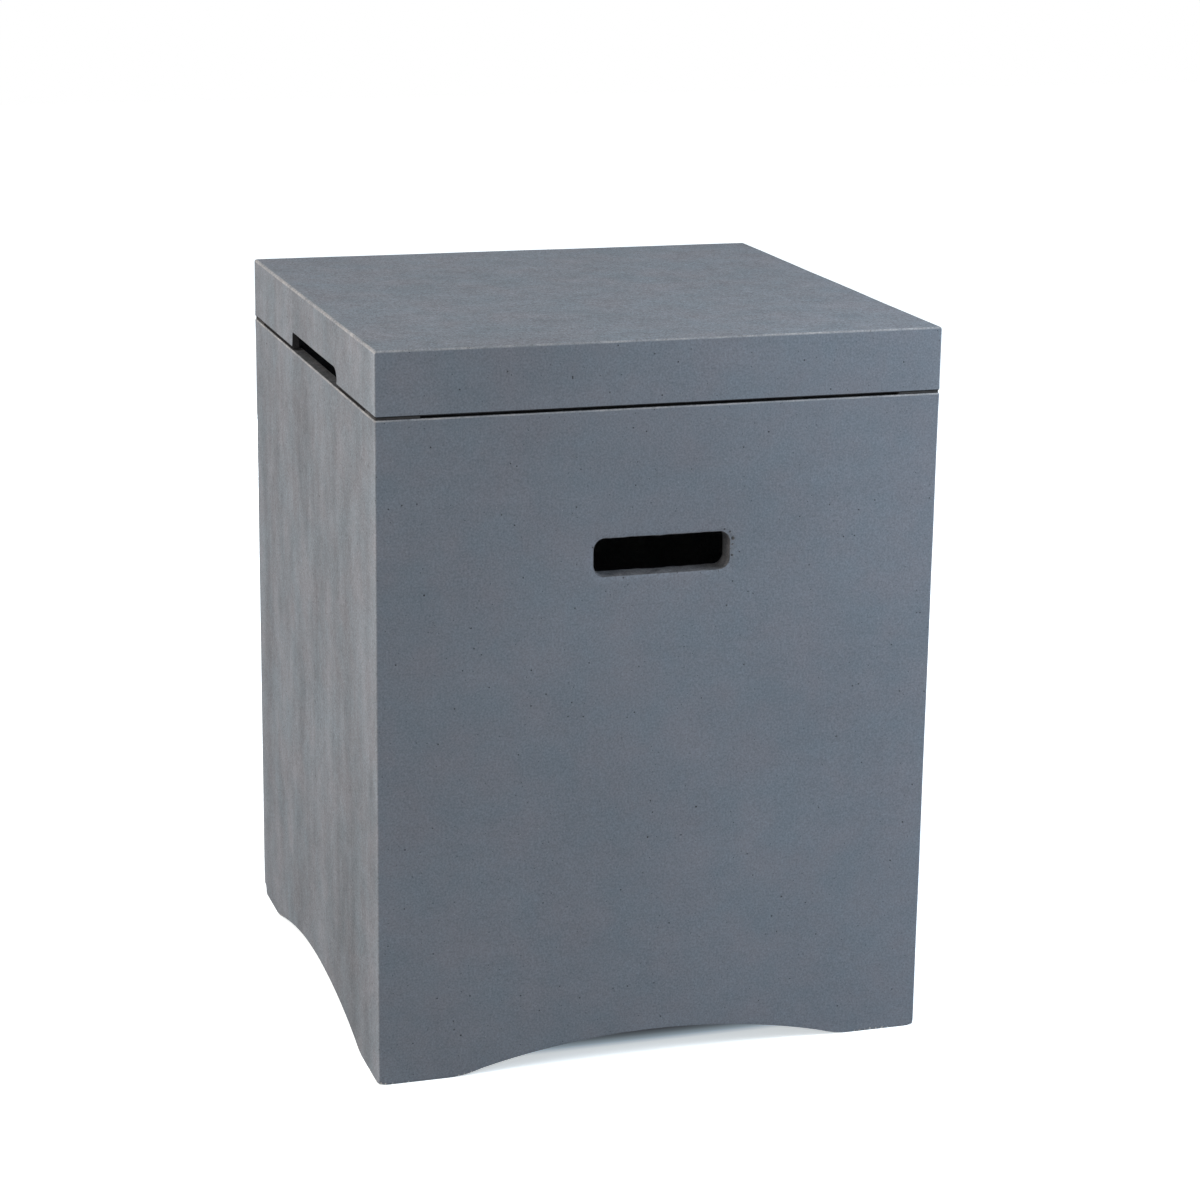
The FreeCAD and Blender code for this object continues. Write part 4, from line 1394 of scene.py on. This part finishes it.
# %% [markdown]
# ## Rubber guides
# Under each corner block hangs a guide that drops into the shell and keeps the lid flush. It
# is a square block with its corners cut off and a tip that slopes in, so that the lid finds
# its way down. The slope is made by slicing the block where it starts and shrinking the
# bottom. A wide recess from below hides the washer and the screw's head, and a small round
# runs along every edge, as on anything that was moulded.

# %% Guides
GUIDE_CORNER = 6 * MM
GUIDE_TIP = 7 * MM
GUIDE_SLOPE = 2.5 * MM
GUIDE_SEAT = 5 * MM
RECESS_RADIUS = 5.5 * MM
HOLE_RADIUS = 2.25 * MM
GUIDE_EDGE = 0.6 * MM
GUIDE_SHARP = math.radians(12)
guide_half = (guide_high - guide_low) / 2
TIP_LEVEL = guide_low.z

guide = block("rubber_guide", (-guide_half.x, -guide_half.y, TIP_LEVEL),
              (guide_half.x, guide_half.y, LID_BASE), rubber)
round_over(guide, is_upright, GUIDE_CORNER, 1)
slice_at(guide, (0, 0, TIP_LEVEL + GUIDE_TIP), (0, 0, 1))
shrink = 1 - GUIDE_SLOPE / guide_half.x
edit_faces(guide, lambda centre, normal: normal.z < -0.9)
bpy.ops.transform.resize(value=(shrink, shrink, 1), center_override=(0, 0, TIP_LEVEL))
cut_away(guide, rod("recess_cutter", RECESS_RADIUS, TIP_LEVEL - OVERCUT, LID_BASE - GUIDE_SEAT,
                    rubber, 48))
cut_away(guide, rod("hole_cutter", HOLE_RADIUS, TIP_LEVEL - OVERCUT, LID_BASE + OVERCUT,
                    rubber, 32))
edit_all(guide)
bpy.ops.mesh.select_all(action="DESELECT")
bpy.ops.mesh.edges_select_sharp(sharpness=GUIDE_SHARP)
bpy.ops.mesh.bevel(offset=GUIDE_EDGE, segments=3, affect="EDGES", clamp_overlap=True)
take(guide)
print("guide:", len(guide.data.polygons), "faces")

# %% [markdown]
# ## Screws and washers
# A slotted pan-head screw holds each guide, with a washer that spreads its load. The head
# grows out of the shank's end face: extruded wide, extruded down, and rounded to a dome. The
# slot is one narrow block taken away.

# %% One screw and one washer
SCREW_RADIUS = 2 * MM
SCREW_LENGTH = 14 * MM
HEAD_RADIUS = 4 * MM
HEAD_HEIGHT = 2.8 * MM
HEAD_DOME = 1.1 * MM
DRIVER_SLOT = (1 * MM, 1.2 * MM)
WASHER_RADIUS = 4.75 * MM
WASHER_THICKNESS = 1 * MM
METAL_EDGE = 0.15 * MM
SHANK_EDGE = 0.5 * MM
washer_top = LID_BASE - GUIDE_SEAT
head_seat = washer_top - WASHER_THICKNESS
head_foot = head_seat - HEAD_HEIGHT


def is_ring(a, b, level, radius):
    """True for an edge on a circle round the Z axis."""
    return (at_level(a, b, level) and near(math.hypot(a.x, a.y), radius)
            and near(math.hypot(b.x, b.y), radius))


screw = rod("guide_screw", SCREW_RADIUS, head_seat, head_seat + SCREW_LENGTH, steel)
edit_faces(screw, lambda centre, normal: normal.z < -0.9)
extrude(0, 0, 0)
bpy.ops.transform.resize(value=(HEAD_RADIUS / SCREW_RADIUS, HEAD_RADIUS / SCREW_RADIUS, 1),
                         center_override=(0, 0, head_seat))
extrude(0, 0, -HEAD_HEIGHT)
round_over(screw, lambda a, b: is_ring(a, b, head_foot, HEAD_RADIUS), HEAD_DOME, 5)
round_over(screw, lambda a, b: is_ring(a, b, head_seat + SCREW_LENGTH, SCREW_RADIUS),
           SHANK_EDGE, 1)
slot_width, slot_depth = DRIVER_SLOT
cut_away(screw, block("driver_slot", (-slot_width / 2, -OVERCUT, head_foot - OVERCUT),
                      (slot_width / 2, OVERCUT, head_foot + slot_depth), steel))

washer = rod("guide_washer", WASHER_RADIUS, head_seat, washer_top, steel, 48)
cut_away(washer, rod("washer_hole", HOLE_RADIUS, head_seat - OVERCUT, washer_top + OVERCUT,
                     steel, 32))
round_over(washer, lambda a, b: is_ring(a, b, a.z, WASHER_RADIUS), METAL_EDGE, 2)
print("screw:", len(screw.data.polygons), "faces, washer:", len(washer.data.polygons), "faces")

# %% [markdown]
# One guide, one screw and one washer stand on the Z axis now. They are copied to the four
# corners, each screw turned by its own amount, because no two stop alike.

# %% Copies at the corners
SCREW_TURNS = (12, 74, 131, 38)


def copies_at_corners(piece, turns=(0, 0, 0, 0)):
    """Puts a copy of a piece that was modelled on the Z axis at each corner's guide."""
    copies = {}
    for (corner, (x_side, y_side)), turn in zip(CORNERS.items(), turns):
        take(piece)
        bpy.ops.object.duplicate()
        copy = bpy.context.object
        copy.location = (x_side * GUIDE_X, y_side * GUIDE_Y, 0)
        copy.rotation_euler.z = math.radians(turn)
        copy.name = piece.name + "_" + corner
        settle(copy)
        copies[corner] = copy
    bpy.data.objects.remove(piece)
    return copies


def joined(copies, name):
    """Makes one piece of the four copies."""
    put_down()
    for copy in copies.values():
        copy.select_set(True)
    bpy.context.view_layer.objects.active = copies["front_left"]
    bpy.ops.object.join()
    copies["front_left"].name = name
    return copies["front_left"]


guides = copies_at_corners(guide)
screws = joined(copies_at_corners(screw, SCREW_TURNS), "pan_head_screws")
washers = joined(copies_at_corners(washer), "flat_washers")
print("screws:", len(screws.data.polygons), "faces, washers:", len(washers.data.polygons), "faces")

# %% [markdown]
# ## Dressing the pieces
# Each piece is shaded smooth except across its real edges. The castings also get weighted
# normals, which let a large flat face rule its corners, so that the small rounds read as
# rounds and the faces stay flat. Then each piece rides on its body and stands for the solid
# that it was made around.

# %% Dress and ride
SMOOTH_UP_TO = math.radians(32)


def dress(piece, body, slot, *nodes):
    """Shades the piece and hangs it on its body in place of its solids."""
    take(piece)
    bpy.ops.object.shade_smooth_by_angle(angle=SMOOTH_UP_TO)
    modify(piece, "WEIGHTED_NORMAL", keep_sharp=True)
    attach(piece, body)
    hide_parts(*nodes)


dress(shell, "body", "cast_concrete", "cover_body")
dress(lid, "lid", "cast_concrete", "lid")
for corner in CORNERS:
    dress(pads[corner], "lid", "black_rubber", "rest_pad_" + corner)
    dress(guides[corner], "lid", "black_rubber", "guide_" + corner)
dress(screws, "lid", "stainless_steel", "guide_screws")
dress(washers, "lid", "stainless_steel", "guide_washers")
put_down()
print("pieces dressed")
